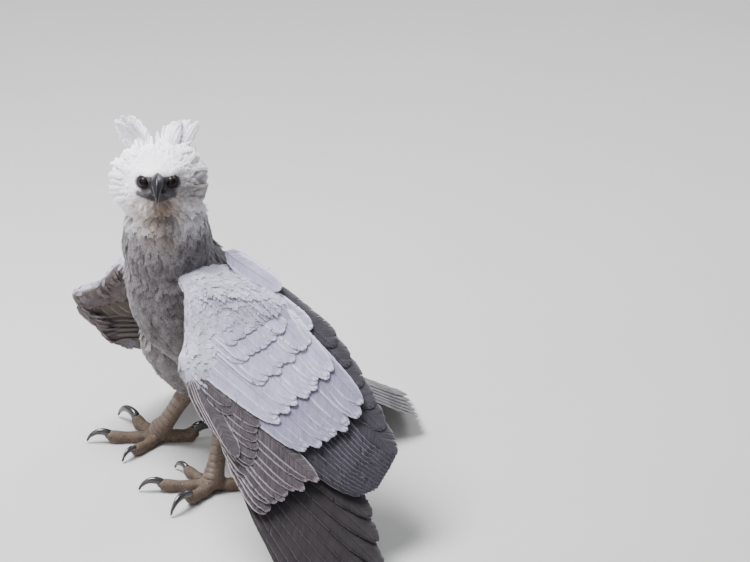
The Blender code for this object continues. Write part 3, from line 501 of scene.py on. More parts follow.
flow = unit(flow - normals * np.sum(flow * normals, axis=1, keepdims=True))

# Markings: how pale each region is from 0, slate, to 1, white, and how warm its colour.
REGION_TONES = {
    "trunk": (0.17, 0.12),
    "neck": (0.18, 0.10),
    "head": (0.97, 0.04),
    "thigh": (0.30, 0.20),
    "wing": (0.60, 0.02),
    "tail": (0.28, 0.04),
}
tone = np.full(count, 0.5)
warm = np.zeros(count)
for word, (pale, warmth) in REGION_TONES.items():
    chosen = np.char.find(form_of, word) >= 0
    tone[chosen] = pale
    warm[chosen] = warmth
bare = (np.char.find(form_of, "tarsus") >= 0) | (np.char.find(form_of, "toe") >= 0)
forward, leftward, upward = head_places.T
aside = np.abs(leftward)


def soft_step(values, low, high):
    """0 below low, 1 above high and a smooth rise between."""
    share = np.clip((values - low) / (high - low), 0, 1)
    return share * share * (3 - 2 * share)


def within(values, reach, fade):
    """0 from reach up, and 1 where the values are less than reach by fade or more."""
    return soft_step(reach - values, 0.0, fade)


# The dark bare skin of the face: lores between bill and eyes, the corners of the mouth and the rings
# that the eyes are set in.
MOUTH_HALF_WIDTH = 0.036
MOUTH_LEVEL = -0.0235
MOUTH_CORNER_RISE = 0.0085
BROW_EDGE = 0.0125
lores = soft_step(forward, 0.040, 0.050) * within(aside, 0.031, 0.006)
lores = lores * within(upward, BROW_EDGE, 0.004) * within(-upward, 0.026, 0.005)
along_mouth = np.clip(aside / MOUTH_HALF_WIDTH, 0, 1)
beside_mouth = np.maximum(np.abs(leftward + 0.003) - 0.029, 0)
gape = np.hypot(upward - MOUTH_LEVEL - MOUTH_CORNER_RISE * along_mouth**1.5, beside_mouth)
gape = soft_step(0.0080 - 0.0022 * along_mouth - gape, -0.001, 0.0045) * soft_step(forward, 0.030, 0.036)
socket = np.hypot(aside - EYE_PLACE[1] - 0.004, upward - EYE_PLACE[2])
socket = within(socket, 0.0140, 0.003) * soft_step(forward, 0.035, 0.042) * within(upward, BROW_EDGE, 0.003)
face_dark = np.max([lores, gape, socket], axis=0) * head_chosen

# The plumage's own marks: a buff chin, grey cheeks, a pale collar over a warm throat, a dark back and the
# dark hands of the wings; and painted shade in the middle of the chin, on the bird's left side of the chin,
# cheek and lower head, and on the wings' undersides, which are made darker and browner.
on_trunk, on_neck = form_of == "trunk", form_of == "neck"
left_half = soft_step(leftward, -0.01, 0.03)
chin = head_chosen * soft_step(-upward, 0.018, 0.028) * soft_step(forward, -0.01, 0.01)
chin = chin * within(np.abs(leftward + 0.006), 0.052, 0.026)
# Painted shade: the middle of the chin darker and browner.
shaded_chin_middle = chin * within(np.abs(leftward - 0.003), 0.022, 0.018)
# Grey cheeks; the patch on the bird's left is wider, and painted shade darkens it further.
cheek = np.hypot((aside - 0.053) * 0.8, upward - 0.008 + 0.010 * left_half)
cheek = head_chosen * within(cheek, 0.017 + 0.016 * left_half, 0.014) * soft_step(forward, 0.0, 0.015)
front = head_chosen * within(aside, 0.016, 0.010) * soft_step(forward, 0.035, 0.050)
# Painted shade over the lower half of the head on the bird's left side.
shaded_left_low_head = head_chosen * left_half * within(upward, 0.010, 0.02)
collar = on_neck * soft_step(hide[:, 2], 0.475, 0.505)
throat = on_neck * soft_step(hide[:, 2], 0.455, 0.485) * soft_step(forward, -0.02, 0.0)
throat = throat * within(aside, 0.036, 0.022)
# Each mark: where it lies, how much paler and how much warmer it makes the feathers.
plumage_marks = [
    (chin, -0.08, 0.42),
    (shaded_chin_middle, -0.46, 0.30),
    # Painted shade on the bird's left side of the chin and cheek, and over its lower head.
    (chin * left_half, -0.22, 0.0),
    (cheek, -0.12, 0.0),
    (cheek * left_half, -0.26, 0.16),
    (front * soft_step(upward, 0.008, 0.016), 0.0, 0.22),
    (shaded_left_low_head, -0.10, 0.10),
    (collar * (1 - throat), 0.40, 0.0),
    (throat, 0.08, 0.34),
    (on_trunk * soft_step(hide[:, 1], 0.0, 0.05), -0.04, 0.0),
    (on_trunk * within(hide[:, 2], 0.30, 0.05), 0.06, 0.0),
]
# Painted shade: the wings' skin that faces down is darker and browner, more of it on the right wing; the
# hands' darkness is their own colour.
for name, facing_up in (("left_wing", 0.35), ("right_wing", 0.70)):
    below = (form_of == name) * soft_step(-(normals @ wings[name].up), -facing_up, 0.75)
    from_tip = np.linalg.norm(hide - wings[name].hand(1.0, 0.0), axis=1)
    near_tip = (form_of == name) * within(from_tip, 0.085, 0.050) * (1 - below)
    plumage_marks += [(below, -0.38, 0.55), (near_tip, -0.36, 0.12)]
for where, paler, warmer in plumage_marks:
    tone = tone + paler * where
    warm = warm + warmer * where


def set_mask(piece, name, values):
    """Keeps one number for each point of the piece's mesh, for its material to read."""
    layer = piece.data.attributes.new(name, "FLOAT", "POINT")
    layer.data.foreach_set("value", np.asarray(values, np.float32))


on_wing = np.char.find(form_of, "wing") >= 0
for name, values in (("tone", tone), ("warm", warm), ("bare", bare), ("dark", face_dark), ("wing", on_wing)):
    set_mask(skin, name, values)

# The skin's own flat layout, on which every small feather later finds its place.
bpy.context.view_layer.objects.active = skin
skin.select_set(True)
bpy.ops.object.mode_set(mode="EDIT")
bpy.ops.mesh.select_all(action="SELECT")
bpy.ops.uv.smart_project(angle_limit=1.15, island_margin=0.002)
bpy.ops.object.mode_set(mode="OBJECT")
skin.select_set(False)
mesh = skin.data
mesh.uv_layers[0].name = "OFBake"
corner_uv = np.empty(len(mesh.loops) * 2)
mesh.uv_layers["OFBake"].uv.foreach_get("vector", corner_uv)
corner_point = np.empty(len(mesh.loops), int)
mesh.loops.foreach_get("vertex_index", corner_point)
hide_uv = np.zeros((count, 2))
hide_uv[corner_point] = corner_uv.reshape(-1, 2)


def put(tree, kind, values=None, **settings):
    """A new shader node with its settings, and with values or links on its inputs."""
    made = tree.nodes.new("ShaderNode" + kind)
    for name, value in settings.items():
        setattr(made, name, value)
    for key, value in (values or {}).items():
        if isinstance(value, bpy.types.NodeSocket):
            tree.links.new(value, made.inputs[key])
        else:
            made.inputs[key].default_value = value
    return made


def maths(tree, operation, first, second=0.0):
    """The result of a sum on one or two values."""
    return put(tree, "Math", {0: first, 1: second}, operation=operation).outputs[0]


def mix(tree, share, first, second):
    """A colour between two."""
    return put(tree, "Mix", {0: share, 6: first, 7: second}, data_type="RGBA").outputs[2]


def mask(tree, name):
    """The number that a mesh keeps under this name."""
    return put(tree, "Attribute", attribute_name=name).outputs["Fac"]


def ramp(tree, value, low, high, start=0.0, end=1.0):
    """A smooth step of a value between low and high."""
    values = {"Value": value, "From Min": low, "From Max": high, "To Min": start, "To Max": end}
    return put(tree, "MapRange", values, interpolation_type="SMOOTHSTEP").outputs[0]


def noise(tree, vector, scale, detail=3.0, rough=0.5):
    """Soft random values over a place."""
    values = {"Vector": vector, "Scale": scale, "Detail": detail, "Roughness": rough}
    return put(tree, "TexNoise", values).outputs[0]


def place_of(tree):
    """Each point's own place on the model."""
    return put(tree, "TexCoord").outputs["Object"]


def new_material(name, roughness, **sockets):
    """A material with its tree and its shader, whose fixed values are set on the shader's own sockets."""
    made = bpy.data.materials.new(name)
    made.use_nodes = True
    shader = made.node_tree.nodes["Principled BSDF"]
    shader.inputs["Roughness"].default_value = roughness
    for key, value in sockets.items():
        shader.inputs[key.replace("_", " ")].default_value = value
    return made, made.node_tree, shader


def paint(tree, shader, colour):
    """Puts a colour on the shader."""
    tree.links.new(colour, shader.inputs["Base Color"])


def bump(tree, shader, height, strength, distance):
    """Relief on the shader's normal from a height."""
    values = {"Height": height, "Strength": strength, "Distance": distance}
    tree.links.new(put(tree, "Bump", values).outputs[0], shader.inputs["Normal"])


def dress(piece, material):
    """Gives the piece its material, its finish and its place on the bird."""
    piece.data.materials.clear()
    piece.data.materials.append(material)
    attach(piece, "root")


def new_marks(name, colours, numbers=()):
    """A node group with these inputs that puts out a colour and a height."""
    marks = bpy.data.node_groups.new(name, "ShaderNodeTree")
    for names, kind in ((colours, "Color"), (numbers, "Float")):
        for socket in names:
            marks.interface.new_socket(socket, in_out="INPUT", socket_type="NodeSocket" + kind)
    for socket, kind in (("Color", "Color"), ("Height", "Float")):
        marks.interface.new_socket(socket, in_out="OUTPUT", socket_type="NodeSocket" + kind)
    return marks, marks.nodes.new("NodeGroupInput").outputs, marks.nodes.new("NodeGroupOutput").inputs


def use_marks(tree, marks, values):
    """The colour and the height of a group of marks with these values on its inputs."""
    made = put(tree, "Group", node_tree=marks)
    for key, value in values.items():
        made.inputs[key].default_value = (*value, 1) if isinstance(value, tuple) else value
    return made.outputs["Color"], made.outputs["Height"]


# The colours of small feathers: slate to white by the tone, warmed towards buff, with dark bristles.
down_marks, given, result = new_marks("down_marks", ("Slate", "White", "Buff"))
place = place_of(down_marks)
patches = noise(down_marks, place, 38.0)
fine = noise(down_marks, place, 420.0, 2.0)
along = mask(down_marks, "along")
rim = maths(down_marks, "ABSOLUTE", mask(down_marks, "across"))
paleness = mask(down_marks, "tone")
for part in (
    # Darker at the root and paler at the tip: partly grey down at the base, partly painted shade under the
    # feathers that lie over them.
    ramp(down_marks, along, 0.0, 1.0, -0.07, 0.05),
    ramp(down_marks, patches, 0.35, 0.65, -0.05, 0.05),
    ramp(down_marks, fine, 0.3, 0.7, -0.05, 0.05),
    ramp(down_marks, rim, 0.5, 1.0, 0.0, 0.05),
):
    paleness = maths(down_marks, "ADD", paleness, part)
paleness = maths(down_marks, "POWER", put(down_marks, "Clamp", {"Value": paleness}).outputs[0], 1.5)
shade = mix(down_marks, paleness, given["Slate"], given["White"])
buff = mix(down_marks, paleness, (0.10, 0.068, 0.048, 1), given["Buff"])
shade = mix(down_marks, mask(down_marks, "warm"), shade, buff)
bristle = mix(down_marks, fine, (0.02, 0.018, 0.02, 1), (0.09, 0.08, 0.09, 1))
down_marks.links.new(mix(down_marks, mask(down_marks, "dark"), shade, bristle), result["Color"])
down_marks.links.new(maths(down_marks, "MULTIPLY", fine, along), result["Height"])


BODY_DOWN = {"Slate": (0.034, 0.029, 0.035), "White": (0.87, 0.85, 0.90), "Buff": (0.60, 0.45, 0.33)}
WING_DOWN = {"Slate": (0.050, 0.044, 0.055), "White": (0.78, 0.76, 0.93), "Buff": (0.30, 0.215, 0.17)}
skin_material, tree, shader = new_material("hide_and_leg_skin", 0.6, Specular_IOR_Level=0.35)
place = place_of(tree)
mottle = noise(tree, place, 90.0)
body_colour, wing_colour = (use_marks(tree, down_marks, down)[0] for down in (BODY_DOWN, WING_DOWN))
plumed = mix(tree, mask(tree, "wing"), body_colour, wing_colour)
leg = mix(tree, mottle, (0.105, 0.074, 0.056, 1), (0.21, 0.155, 0.115, 1))
scales = put(tree, "TexVoronoi", {"Vector": place, "Scale": 330.0}, feature="DISTANCE_TO_EDGE").outputs[0]
creases = ramp(tree, scales, 0.0, 0.16)
leg = mix(tree, creases, (0.05, 0.034, 0.025, 1), leg)
# The legs and toes turn darker and browner towards the floor.
low_darkening = ramp(tree, put(tree, "SeparateXYZ", {0: place}).outputs[2], 0.03, 0.0, 0.0, 0.5)
leg = mix(tree, low_darkening, leg, (0.10, 0.065, 0.04, 1))
face = mix(tree, mottle, (0.030, 0.026, 0.031, 1), (0.110, 0.100, 0.110, 1))
colour = mix(tree, mask(tree, "bare"), plumed, leg)
paint(tree, shader, mix(tree, mask(tree, "dark"), colour, face))
bump(tree, shader, maths(tree, "MULTIPLY", creases, mask(tree, "bare")), 0.6, 0.0006)
flesh = ["torso", "neck", "head", "tail", "left_wing", "right_wing"]
for name in ("left", "right"):
    flesh += [name + "_thigh", name + "_tarsus"] + [f"{name}_toe_{number}" for number in range(1, 5)]
dress(skin, skin_material)
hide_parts(*flesh)

# The small feathers of the body: two rows of soft barbs each, that part towards their ends. They grow
# from the skin and lie over the next ones down, short on the wings' leading edges and the shins, and
# longest on the back and the rump.
TUFT_KINDS = 6
rng = np.random.default_rng(23)


def tuft_shapes(barbs, fray, slant, narrow=1.0):
    """Places along and across of a few kinds of small feather, four points for each barb."""
    kinds = []
    for _ in range(TUFT_KINDS):
        blades = []
        base = np.linspace(0.04, 0.90, barbs + 1)
        for side in (-1, 1):
            for start, end in zip(base, base[1:]):
                middle = (start + end) / 2
                reach = np.sin(np.pi * np.clip(0.16 + 0.80 * middle, 0, 1)) ** 0.6
                reach *= 0.5 * narrow * (1 - fray * rng.uniform(0, 1) * (0.3 + middle))
                ahead = slant * (0.7 + 0.3 * rng.uniform())
                across = side * reach
                corner = (end + ahead * reach * 0.86, across * 0.93)
                blades.append(((start, 0.0), (end, 0.0), corner, (start + ahead * reach, across)))
        blades.append(((0.84, -0.05), (0.84, 0.05), (1.0, 0.03), (1.0, -0.03)))
        kinds.append(np.array(blades))
    return np.array(kinds)


def big_mesh(name, points, faces, masks, corners_uv=None):
    """An object from arrays of points and of four-cornered faces, with masks and a flat layout."""
    mesh = bpy.data.meshes.new(name)
    mesh.vertices.add(len(points))
    mesh.vertices.foreach_set("co", np.ravel(points + ORIGIN).astype(np.float32))
    mesh.loops.add(faces.size)
    mesh.loops.foreach_set("vertex_index", np.ravel(faces).astype(np.int32))
    mesh.polygons.add(len(faces))
    mesh.polygons.foreach_set("loop_start", np.arange(len(faces), dtype=np.int32) * 4)
    mesh.polygons.foreach_set("use_smooth", np.ones(len(faces), bool))
    mesh.update(calc_edges=True)
    piece = bpy.data.objects.new(name, mesh)
    bpy.context.scene.collection.objects.link(piece)
    for key, values in masks.items():
        set_mask(piece, key, values)
    if corners_uv is not None:
        layer = mesh.uv_layers.new(name="OFBake")
        layer.uv.foreach_set("vector", np.ravel(corners_uv[np.ravel(faces)]).astype(np.float32))
    return piece


# How far ahead of its root a feather feels the skin bend, as a share of its length, how much of that
# bend it takes, how far it may roll on its shaft, and how its own tone differs.
FEELS_AHEAD = 0.6
BEND_TAKEN = (-0.5, 1.8)
ROLL = 0.08
OWN_TONE = 0.03
skin_points = KDTree(count)
for i, point in enumerate(hide):
    skin_points.insert(tuple(point), i)
skin_points.balance()


def plant(name, at, sizes, shapes, lift, curl, arch=0.16, twist=0.2, sink=0.0012):
    """Small feathers on the skin's points `at`, as one piece, which bend as the skin under them does.

    sizes are the lengths and widths, lift how steeply they leave the skin and curl how far they bend back.
    """
    number = len(at)
    length, width = (np.broadcast_to(size, number)[:, None, None] for size in sizes)
    lift, curl = (np.broadcast_to(value, number)[:, None, None] for value in (lift, curl))
    out, way = normals[at], flow[at]
    side = np.cross(out, way)
    angle = rng.normal(0, twist, (number, 1))
    way, side = way * np.cos(angle) + side * np.sin(angle), side * np.cos(angle) - way * np.sin(angle)
    ahead = hide[at] + way * length[:, 0] * FEELS_AHEAD
    under = np.array([skin_points.find(tuple(point))[1] for point in ahead])
    drop = np.sum((hide[under] - hide[at]) * out, axis=1)[:, None, None]
    curl = curl + np.clip(-drop / (FEELS_AHEAD**2 / 2 * length), *BEND_TAKEN)
    roll = rng.normal(0, ROLL, (number, 1))
    side, out = side * np.cos(roll) + out * np.sin(roll), out * np.cos(roll) - side * np.sin(roll)
    root = hide[at] - normals[at] * sink + side * rng.uniform(-0.001, 0.001, (number, 1))
    chosen = shapes[rng.integers(0, len(shapes), number)]
    along, across = chosen[..., 0], chosen[..., 1]
    rise = length * (lift * along - curl * along**2 / 2) - arch * width * across**2 * 2
    points = root[:, None, None]
    for axis, distance in ((way, length * along), (side, width * across), (out, rise)):
        points = points + axis[:, None, None] * distance[..., None]
    blades = shapes.shape[1]
    faces = np.arange(number * blades * 4).reshape(-1, 4)
    whole = {"tone": tone[at] + rng.normal(0, OWN_TONE, number), "warm": warm[at], "dark": face_dark[at]}
    masks = {key: np.repeat(values, blades * 4) for key, values in whole.items()}
    masks.update(along=along.ravel(), across=(across * 2).ravel())
    patch = 0.0015 * np.stack([np.clip(across * 2, -1, 1), along * 2 - 1], axis=-1)
    corners = np.clip(hide_uv[at][:, None, None] + patch, 0.002, 0.998)
    return big_mesh(name, points.reshape(-1, 3), faces, masks, corners.reshape(-1, 2))


def scatter(chosen, spacing):
    """Points of the skin among the chosen ones, no two nearer to each other than the spacing."""
    spacing = np.broadcast_to(spacing, count)
    cell = float(spacing[chosen].max())
    taken = {}
    kept = []
    for i in rng.permutation(np.nonzero(chosen)[0]):
        key = tuple(int(value) for value in np.floor(hide[i] / cell))
        near = [
            j
            for x in (-1, 0, 1)
            for y in (-1, 0, 1)
            for z in (-1, 0, 1)
            for j in taken.get((key[0] + x, key[1] + y, key[2] + z), ())
        ]
        if near and np.min(np.sum((hide[near] - hide[i]) ** 2, axis=1)) < spacing[i] ** 2:
            continue
        taken.setdefault(key, []).append(i)
        kept.append(i)
    return np.array(kept)


def down_finish(name, down):
    """A material for small feathers."""
    made, tree, shader = new_material(name, 0.78, Specular_IOR_Level=0.25, Sheen_Weight=0.2)
    colour, height = use_marks(tree, down_marks, down)
    paint(tree, shader, colour)
    bump(tree, shader, height, 0.25, 0.0008)
    return made


down_material = down_finish("body_feather", BODY_DOWN)
wing_down_material = down_finish("wing_feather", WING_DOWN)
soft_shapes = tuft_shapes(7, 0.45, 0.9)
neat_shapes = tuft_shapes(7, 0.18, 0.7)
for name, chosen, spacing, length, width, shapes, lift, curl in (
    ("breast_feathers", on_trunk & (hide[:, 1] < 0.03), 0.0072, 0.030, 0.018, soft_shapes, 0.21, 0.20),
    ("back_feathers", on_trunk & (hide[:, 1] >= 0.03), 0.0080, 0.034, 0.022, neat_shapes, 0.19, 0.20),
    ("neck_feathers", on_neck, 0.0056, 0.029, 0.014, soft_shapes, 0.27, 0.22),
    ("rump_feathers", form_of == "tail", 0.0085, 0.036, 0.020, soft_shapes, 0.15, 0.14),
):
    at = scatter(chosen, spacing)
    sizes = (length * rng.uniform(0.85, 1.15, len(at)), width * rng.uniform(0.85, 1.15, len(at)))
    dress(plant(name, at, sizes, shapes, lift, curl), down_material)
shin = soft_step(hide[:, 2], 0.120, 0.200)
for name in ("left", "right"):
    chosen = (form_of == name + "_thigh") & (hide[:, 2] > 0.114)
    at = scatter(chosen, 0.0042 + 0.0028 * shin)
    size = 0.014 + 0.014 * shin[at]
    piece = plant(name + "_thigh_feathers", at, (size, size * 0.56), soft_shapes, 0.20, 0.16)
    dress(piece, down_material)
for name, wing in wings.items():
    edge = soft_step(normals @ wing.arm_lead, 0.1, 0.7)
    beneath = soft_step(-(normals @ wing.up), 0.0, 0.4)
    chosen = (form_of == name) & (behind_bones < 0.020 - 0.012 * beneath)
    at = scatter(chosen, 0.0066 - 0.0026 * edge)
    size = (0.032 - 0.017 * edge[at]) * rng.uniform(0.88, 1.12, len(at))
    piece = plant(name + "_small_coverts", at, (size, size * 0.72), neat_shapes, lift=0.06, curl=0.03,
                  arch=0.04, twist=0.12, sink=0.0005)
    dress(piece, wing_down_material)

# The head's plumage: short stiff feathers on the face, with a few dark bristles on its bare skin, that
# grow into loose white plumes on the crown and cheeks and into the ruff round the face.
from_bill = np.linalg.norm(head_places - bill_root, axis=1)
plume_shapes = tuft_shapes(9, 0.55, 1.0, 0.9)
hair_shapes = tuft_shapes(4, 0.30, 1.3, 0.45)
SIZE_STEPS = (0.016, 0.032, 0.055, 0.085, 0.120)
head_length = np.interp(from_bill, SIZE_STEPS, (0.0055, 0.0085, 0.0160, 0.0260, 0.0300))
head_width = np.interp(from_bill, SIZE_STEPS, (0.0024, 0.0036, 0.0062, 0.0090, 0.0105))
head_spacing = np.interp(from_bill, SIZE_STEPS, (0.0022, 0.0026, 0.0035, 0.0045, 0.0052))
head_lift = np.interp(from_bill, SIZE_STEPS, (0.12, 0.16, 0.24, 0.30, 0.30))
face_near = from_bill < 0.052
covered = head_chosen & (face_dark < 0.4)
for name, chosen, shapes in (
    ("face_feathers", covered & face_near, neat_shapes),
    ("head_plumes", covered & ~face_near, plume_shapes),
):
    at = scatter(chosen, head_spacing)
    vary = rng.uniform(0.8, 1.2, len(at))
    lift = head_lift[at] * rng.uniform(0.7, 1.4, len(at))
    piece = plant(name, at, (head_length[at] * vary, head_width[at] * vary), shapes, lift, 0.10, twist=0.2)
    dress(piece, down_material)


def drawn(span, number):
    """A random value in the span for each feather, or the one value that stands in its place."""
    return rng.uniform(*span, number) if isinstance(span, tuple) else span


bristle_places = head_chosen & (face_dark > 0.55) & (from_bill > 0.012)
ruff_places = head_chosen & (np.abs(forward - 0.014) < 0.017) & (upward < 0.045)
chin_places = covered & (forward > -0.015) & (upward < -0.022)
crown_places = head_chosen & (forward < 0.02) & (upward > 0.025)
even_all_over = (0.0, 0.0, 0.0, 0.0)
# Each kind: where, how far apart, length and width, then shapes, lift, curl, twist, what the lowest ones
# have more of in length, width, lift and curl, and the finish that it counts as.
for name, chosen, spacing, length, width, shapes, lift, curl, twist, lowest, slot in (
    ("face_bristles", bristle_places, 0.0030, (0.004, 0.0075), 0.0022,
     hair_shapes, 0.45, 0.35, 0.2, even_all_over, "bare_skin"),
    ("ruff_plumes", ruff_places, 0.0046, (0.028, 0.038), (0.010, 0.014),
     plume_shapes, (0.40, 0.65), 0.20, 0.22, (-0.48, 0.2, 0.25, 0.2), "white_feather"),
    ("chin_plumes", chin_places, 0.0034, (0.010, 0.017), (0.006, 0.009),
     plume_shapes, (0.35, 0.65), 0.4, 0.3, even_all_over, "white_feather"),
    ("loose_plumes", crown_places, 0.0080, (0.026, 0.040), (0.005, 0.009),
     plume_shapes, (0.4, 0.8), (-0.1, 0.5), 0.5, even_all_over, "white_feather"),
):
    at = scatter(chosen, spacing)
    low = soft_step(-upward[at], -0.01, 0.03)
    longer, wider, steeper, rounder = (low * share for share in lowest)
    sizes = (drawn(length, len(at)) * (1 + longer), drawn(width, len(at)) * (1 + wider))
    lift = drawn(lift, len(at)) + steeper
    piece = plant(name, at, sizes, shapes, lift, drawn(curl, len(at)) + rounder, twist=twist)
    dress(piece, down_material)

# The wings' large feathers: stiff vanes of barbs on a raised shaft, notched where barbs have parted.
# Primaries grow from the hand, secondaries and tertials from the arm, and rows of coverts lie over
# their roots, each row over the next. The inner feather of two neighbours lies over the outer one.
COLUMNS = np.array((-1.0, -0.64, -0.30, -0.045, 0.0, 0.045, 0.30, 0.64, 1.0))
BARB_SLANT = 0.85
SPLIT_HALF_GAP = 0.0008
SHAFT_HEIGHT = 0.0009
# Feathers that reach the floor lie this far above it, and level out from this height down.
FLOOR_REST = 0.0003
TOUCHDOWN_HEIGHT = 0.03
LEAST_HEIGHT = 0.0004
# The tip of a vane frays more than the rest, from this share of its length on.
WORN_FROM = 0.85
WORN_DEPTH = 0.10
LAST_BARB = 0.988
# How thick a vane is at its shaft, beside it and at its edge.
VANE_THICKNESS = (0.0006, 0.0005, 0.0002)
# Outlines of a vane: share of the width at its root, where it is full, where it tapers, how squarely.
LONG_OUTLINE = (0.30, 0.35, 0.78, 2.4)
ROUND_OUTLINE = (0.55, 0.30, 0.66, 2.2)
COVERT_TILT = 3.5
COVERT_BUILD = {"outline": ROUND_OUTLINE, "splits": 3, "spacing": 0.0055, "arch": 0.16}


def shaft_line(root, along, up, length, bend, rest, steps=24):
    """Points along a feather's shaft, which bends toward up and levels out as it nears the floor."""
    places = [np.array(root, float)]
    for i in range(steps):
        heading = unit(np.asarray(along) + np.asarray(up) * 2 * bend * (i + 0.5) / steps / length)
        if heading[2] < 0:
            heading[2] *= np.sqrt(np.clip((places[-1][2] - rest) / TOUCHDOWN_HEIGHT, 0.0, 1.0))
            heading = unit(heading)
        places.append(places[-1] + heading * length / steps)
    return np.array(places)


def along_line(values, share, at):
    """The rows of values between stations, at these shares of the line."""
    return np.stack([np.interp(at, share, values[:, k]) for k in range(3)], axis=-1)


def vane(root, along, up, lead, length, width, outline, tilt=0.0, bend=0.0, rest=FLOOR_REST, lead_share=0.5,
         splits=4, spacing=0.006, arch=0.10, ragged=0.05):
    """One large feather as points, faces and masks. The tilt raises the edge that lead points to."""
    start, fill, taper, power = outline
    share = np.linspace(0, 1, 200)
    opening = start + (1 - start) * np.clip(share / fill, 0, 1) ** 0.8
    closing = np.sqrt(np.clip(1 - np.clip((share - taper) / (1 - taper), 0, 1) ** power, 0, 1))
    full = width * opening * closing
    wider = max(lead_share, 1 - lead_share)
    cuts = rng.uniform(0.25, 0.96, splits) * length
    rows = np.linspace(0.0, length * LAST_BARB, max(int(length / spacing), 8))
    rows = np.sort(np.concatenate([rows, cuts - SPLIT_HALF_GAP, cuts, cuts + SPLIT_HALF_GAP]))
    widths = np.interp(np.interp(rows, share * length - BARB_SLANT * full * wider, share), share, full)
    sides = np.stack([widths * (1 - lead_share), widths * lead_share], axis=1)
    worn = WORN_DEPTH * (rows[:, None] / length > WORN_FROM)
    sides *= 1 - ragged * rng.random(sides.shape) - rng.random(sides.shape) * worn
    for cut in cuts:
        sides[np.argmin(np.abs(rows - cut)), rng.integers(0, 2)] *= rng.uniform(0.45, 0.85)
    offset = COLUMNS * np.where(COLUMNS < 0, sides[:, :1], sides[:, 1:])
    reach = np.minimum(rows[:, None] + BARB_SLANT * np.abs(offset), length)
    places = shaft_line(root, along, up, length, bend, rest)
    stations = np.linspace(0, 1, len(places))
    headings = unit(np.gradient(places, axis=0))
    near = np.clip(1 - (places[:, 2:] - rest) / TOUCHDOWN_HEIGHT, 0, 1)
    top = unit(np.asarray(up) * (1 - near) + np.array((0.0, 0.0, 1.0)) * near)
    side = unit(np.cross(top, headings))
    side *= np.sign(side @ lead)[:, None]
    top = np.cross(headings, side)
    top *= np.sign(top @ up)[:, None]
    angle = np.radians(tilt + rng.normal(0, 0.5))
    side, top = side * np.cos(angle) + top * np.sin(angle), top * np.cos(angle) - side * np.sin(angle)
    at = reach / length
    outward = along_line(top, stations, at)
    middle = along_line(places, stations, at) + along_line(side, stations, at) * offset[..., None]
    sag = arch * offset**2 / width * (1 - np.interp(at, stations, near[:, 0]))
    middle -= outward * sag[..., None]
    middle[..., 2] = np.maximum(middle[..., 2], rest + LEAST_HEIGHT)
    thick = np.interp(np.abs(COLUMNS), (0, 0.3, 1), VANE_THICKNESS) / 2
    ridge = SHAFT_HEIGHT * (np.abs(COLUMNS) < 0.01) * (1 - 0.8 * at)
    top_side = middle + outward * (thick + ridge)[..., None]
    points = np.concatenate([top_side, middle - outward * thick[:, None]])
    count, wide = reach.shape
    grid = np.arange(count * wide).reshape(count, wide)
    upper = np.stack([grid[:-1, :-1], grid[:-1, 1:], grid[1:, 1:], grid[1:, :-1]], axis=-1).reshape(-1, 4)
    lower = upper[:, ::-1] + count * wide
    walls = []
    for line, turned in ((grid[:, 0], False), (grid[:, -1], True), (grid[0], True), (grid[-1], False)):
        wall = np.stack([line[:-1], line[1:], line[1:] + count * wide, line[:-1] + count * wide], axis=-1)
        walls.append(wall[:, ::-1] if turned else wall)
    faces = np.concatenate([upper, lower, *walls])
    halfway = len(places) // 2
    if np.dot(np.cross(side[halfway], headings[halfway]), top[halfway]) < 0:
        faces = faces[:, ::-1]
    each = np.ones((2, count, wide))
    return {
        "points": points.reshape(-1, 3),
        "faces": faces,
        "along": (each * at).ravel(),
        "across": (each * COLUMNS).ravel(),
        "barb": (each * rows[:, None]).ravel(),
        "under": (each * np.array((0.0, 1.0))[:, None, None]).ravel(),
        "own": np.full(2 * count * wide, rng.normal(0, 1)),
    }


def join_vanes(name, vanes):
    """One piece from many vanes, each laid out flat as its own upright strip."""
    starts = np.cumsum([0] + [len(each["points"]) for each in vanes])
    faces = np.concatenate([each["faces"] + start for each, start in zip(vanes, starts)])
    joined = {key: np.concatenate([each[key] for each in vanes]) for key in vanes[0] if key != "faces"}
    strip = np.repeat(np.arange(len(vanes)), np.diff(starts))
    within = 0.04 + 0.44 * (joined["across"] + 1) / 2 + 0.48 * joined["under"]
    layout = np.stack([(strip + within) / len(vanes), 0.01 + 0.98 * joined["along"]], axis=1)
    points = joined.pop("points")
    return big_mesh(name, points, faces, joined, layout)


# The colours of large feathers: a ground with a pale edge and tip, dark bars, streaks along the barbs, a
# dark shaft and a plainer underside, blended towards a brown-grey that is painted shade.
vane_marks, given, result = new_marks(
    "vane_marks", ("Ground", "Edge", "Bar"), ("Edge Width", "Bars", "Bar Strength"))
tree = vane_marks
along, across, own = (mask(tree, name) for name in ("along", "across", "own"))
reach = maths(tree, "ABSOLUTE", across)
barb_place = put(tree, "CombineXYZ", {
    0: maths(tree, "MULTIPLY", mask(tree, "barb"), 700.0),
    1: maths(tree, "MULTIPLY", across, 0.9),
    2: maths(tree, "MULTIPLY", own, 7.0),
}).outputs[0]
streak = noise(tree, barb_place, 1.0, 2.0)
cloud = noise(tree, barb_place, 0.11, 2.0)
ragged = maths(tree, "ADD", reach, ramp(tree, noise(tree, barb_place, 0.2), 0.25, 0.75, -0.025, 0.025))
edge = ramp(tree, ragged, maths(tree, "SUBTRACT", 1.0, given["Edge Width"]), 1.02)
tip = maths(tree, "SUBTRACT", 1.0, maths(tree, "MULTIPLY", given["Edge Width"], 0.22))
edge = maths(tree, "MAXIMUM", edge, ramp(tree, along, tip, 1.0))
wave = maths(tree, "MULTIPLY", maths(tree, "MULTIPLY", along, given["Bars"]), 2 * np.pi)
wave = maths(tree, "SINE", maths(tree, "ADD", wave, ramp(tree, cloud, 0.2, 0.8, -1.2, 1.2)))
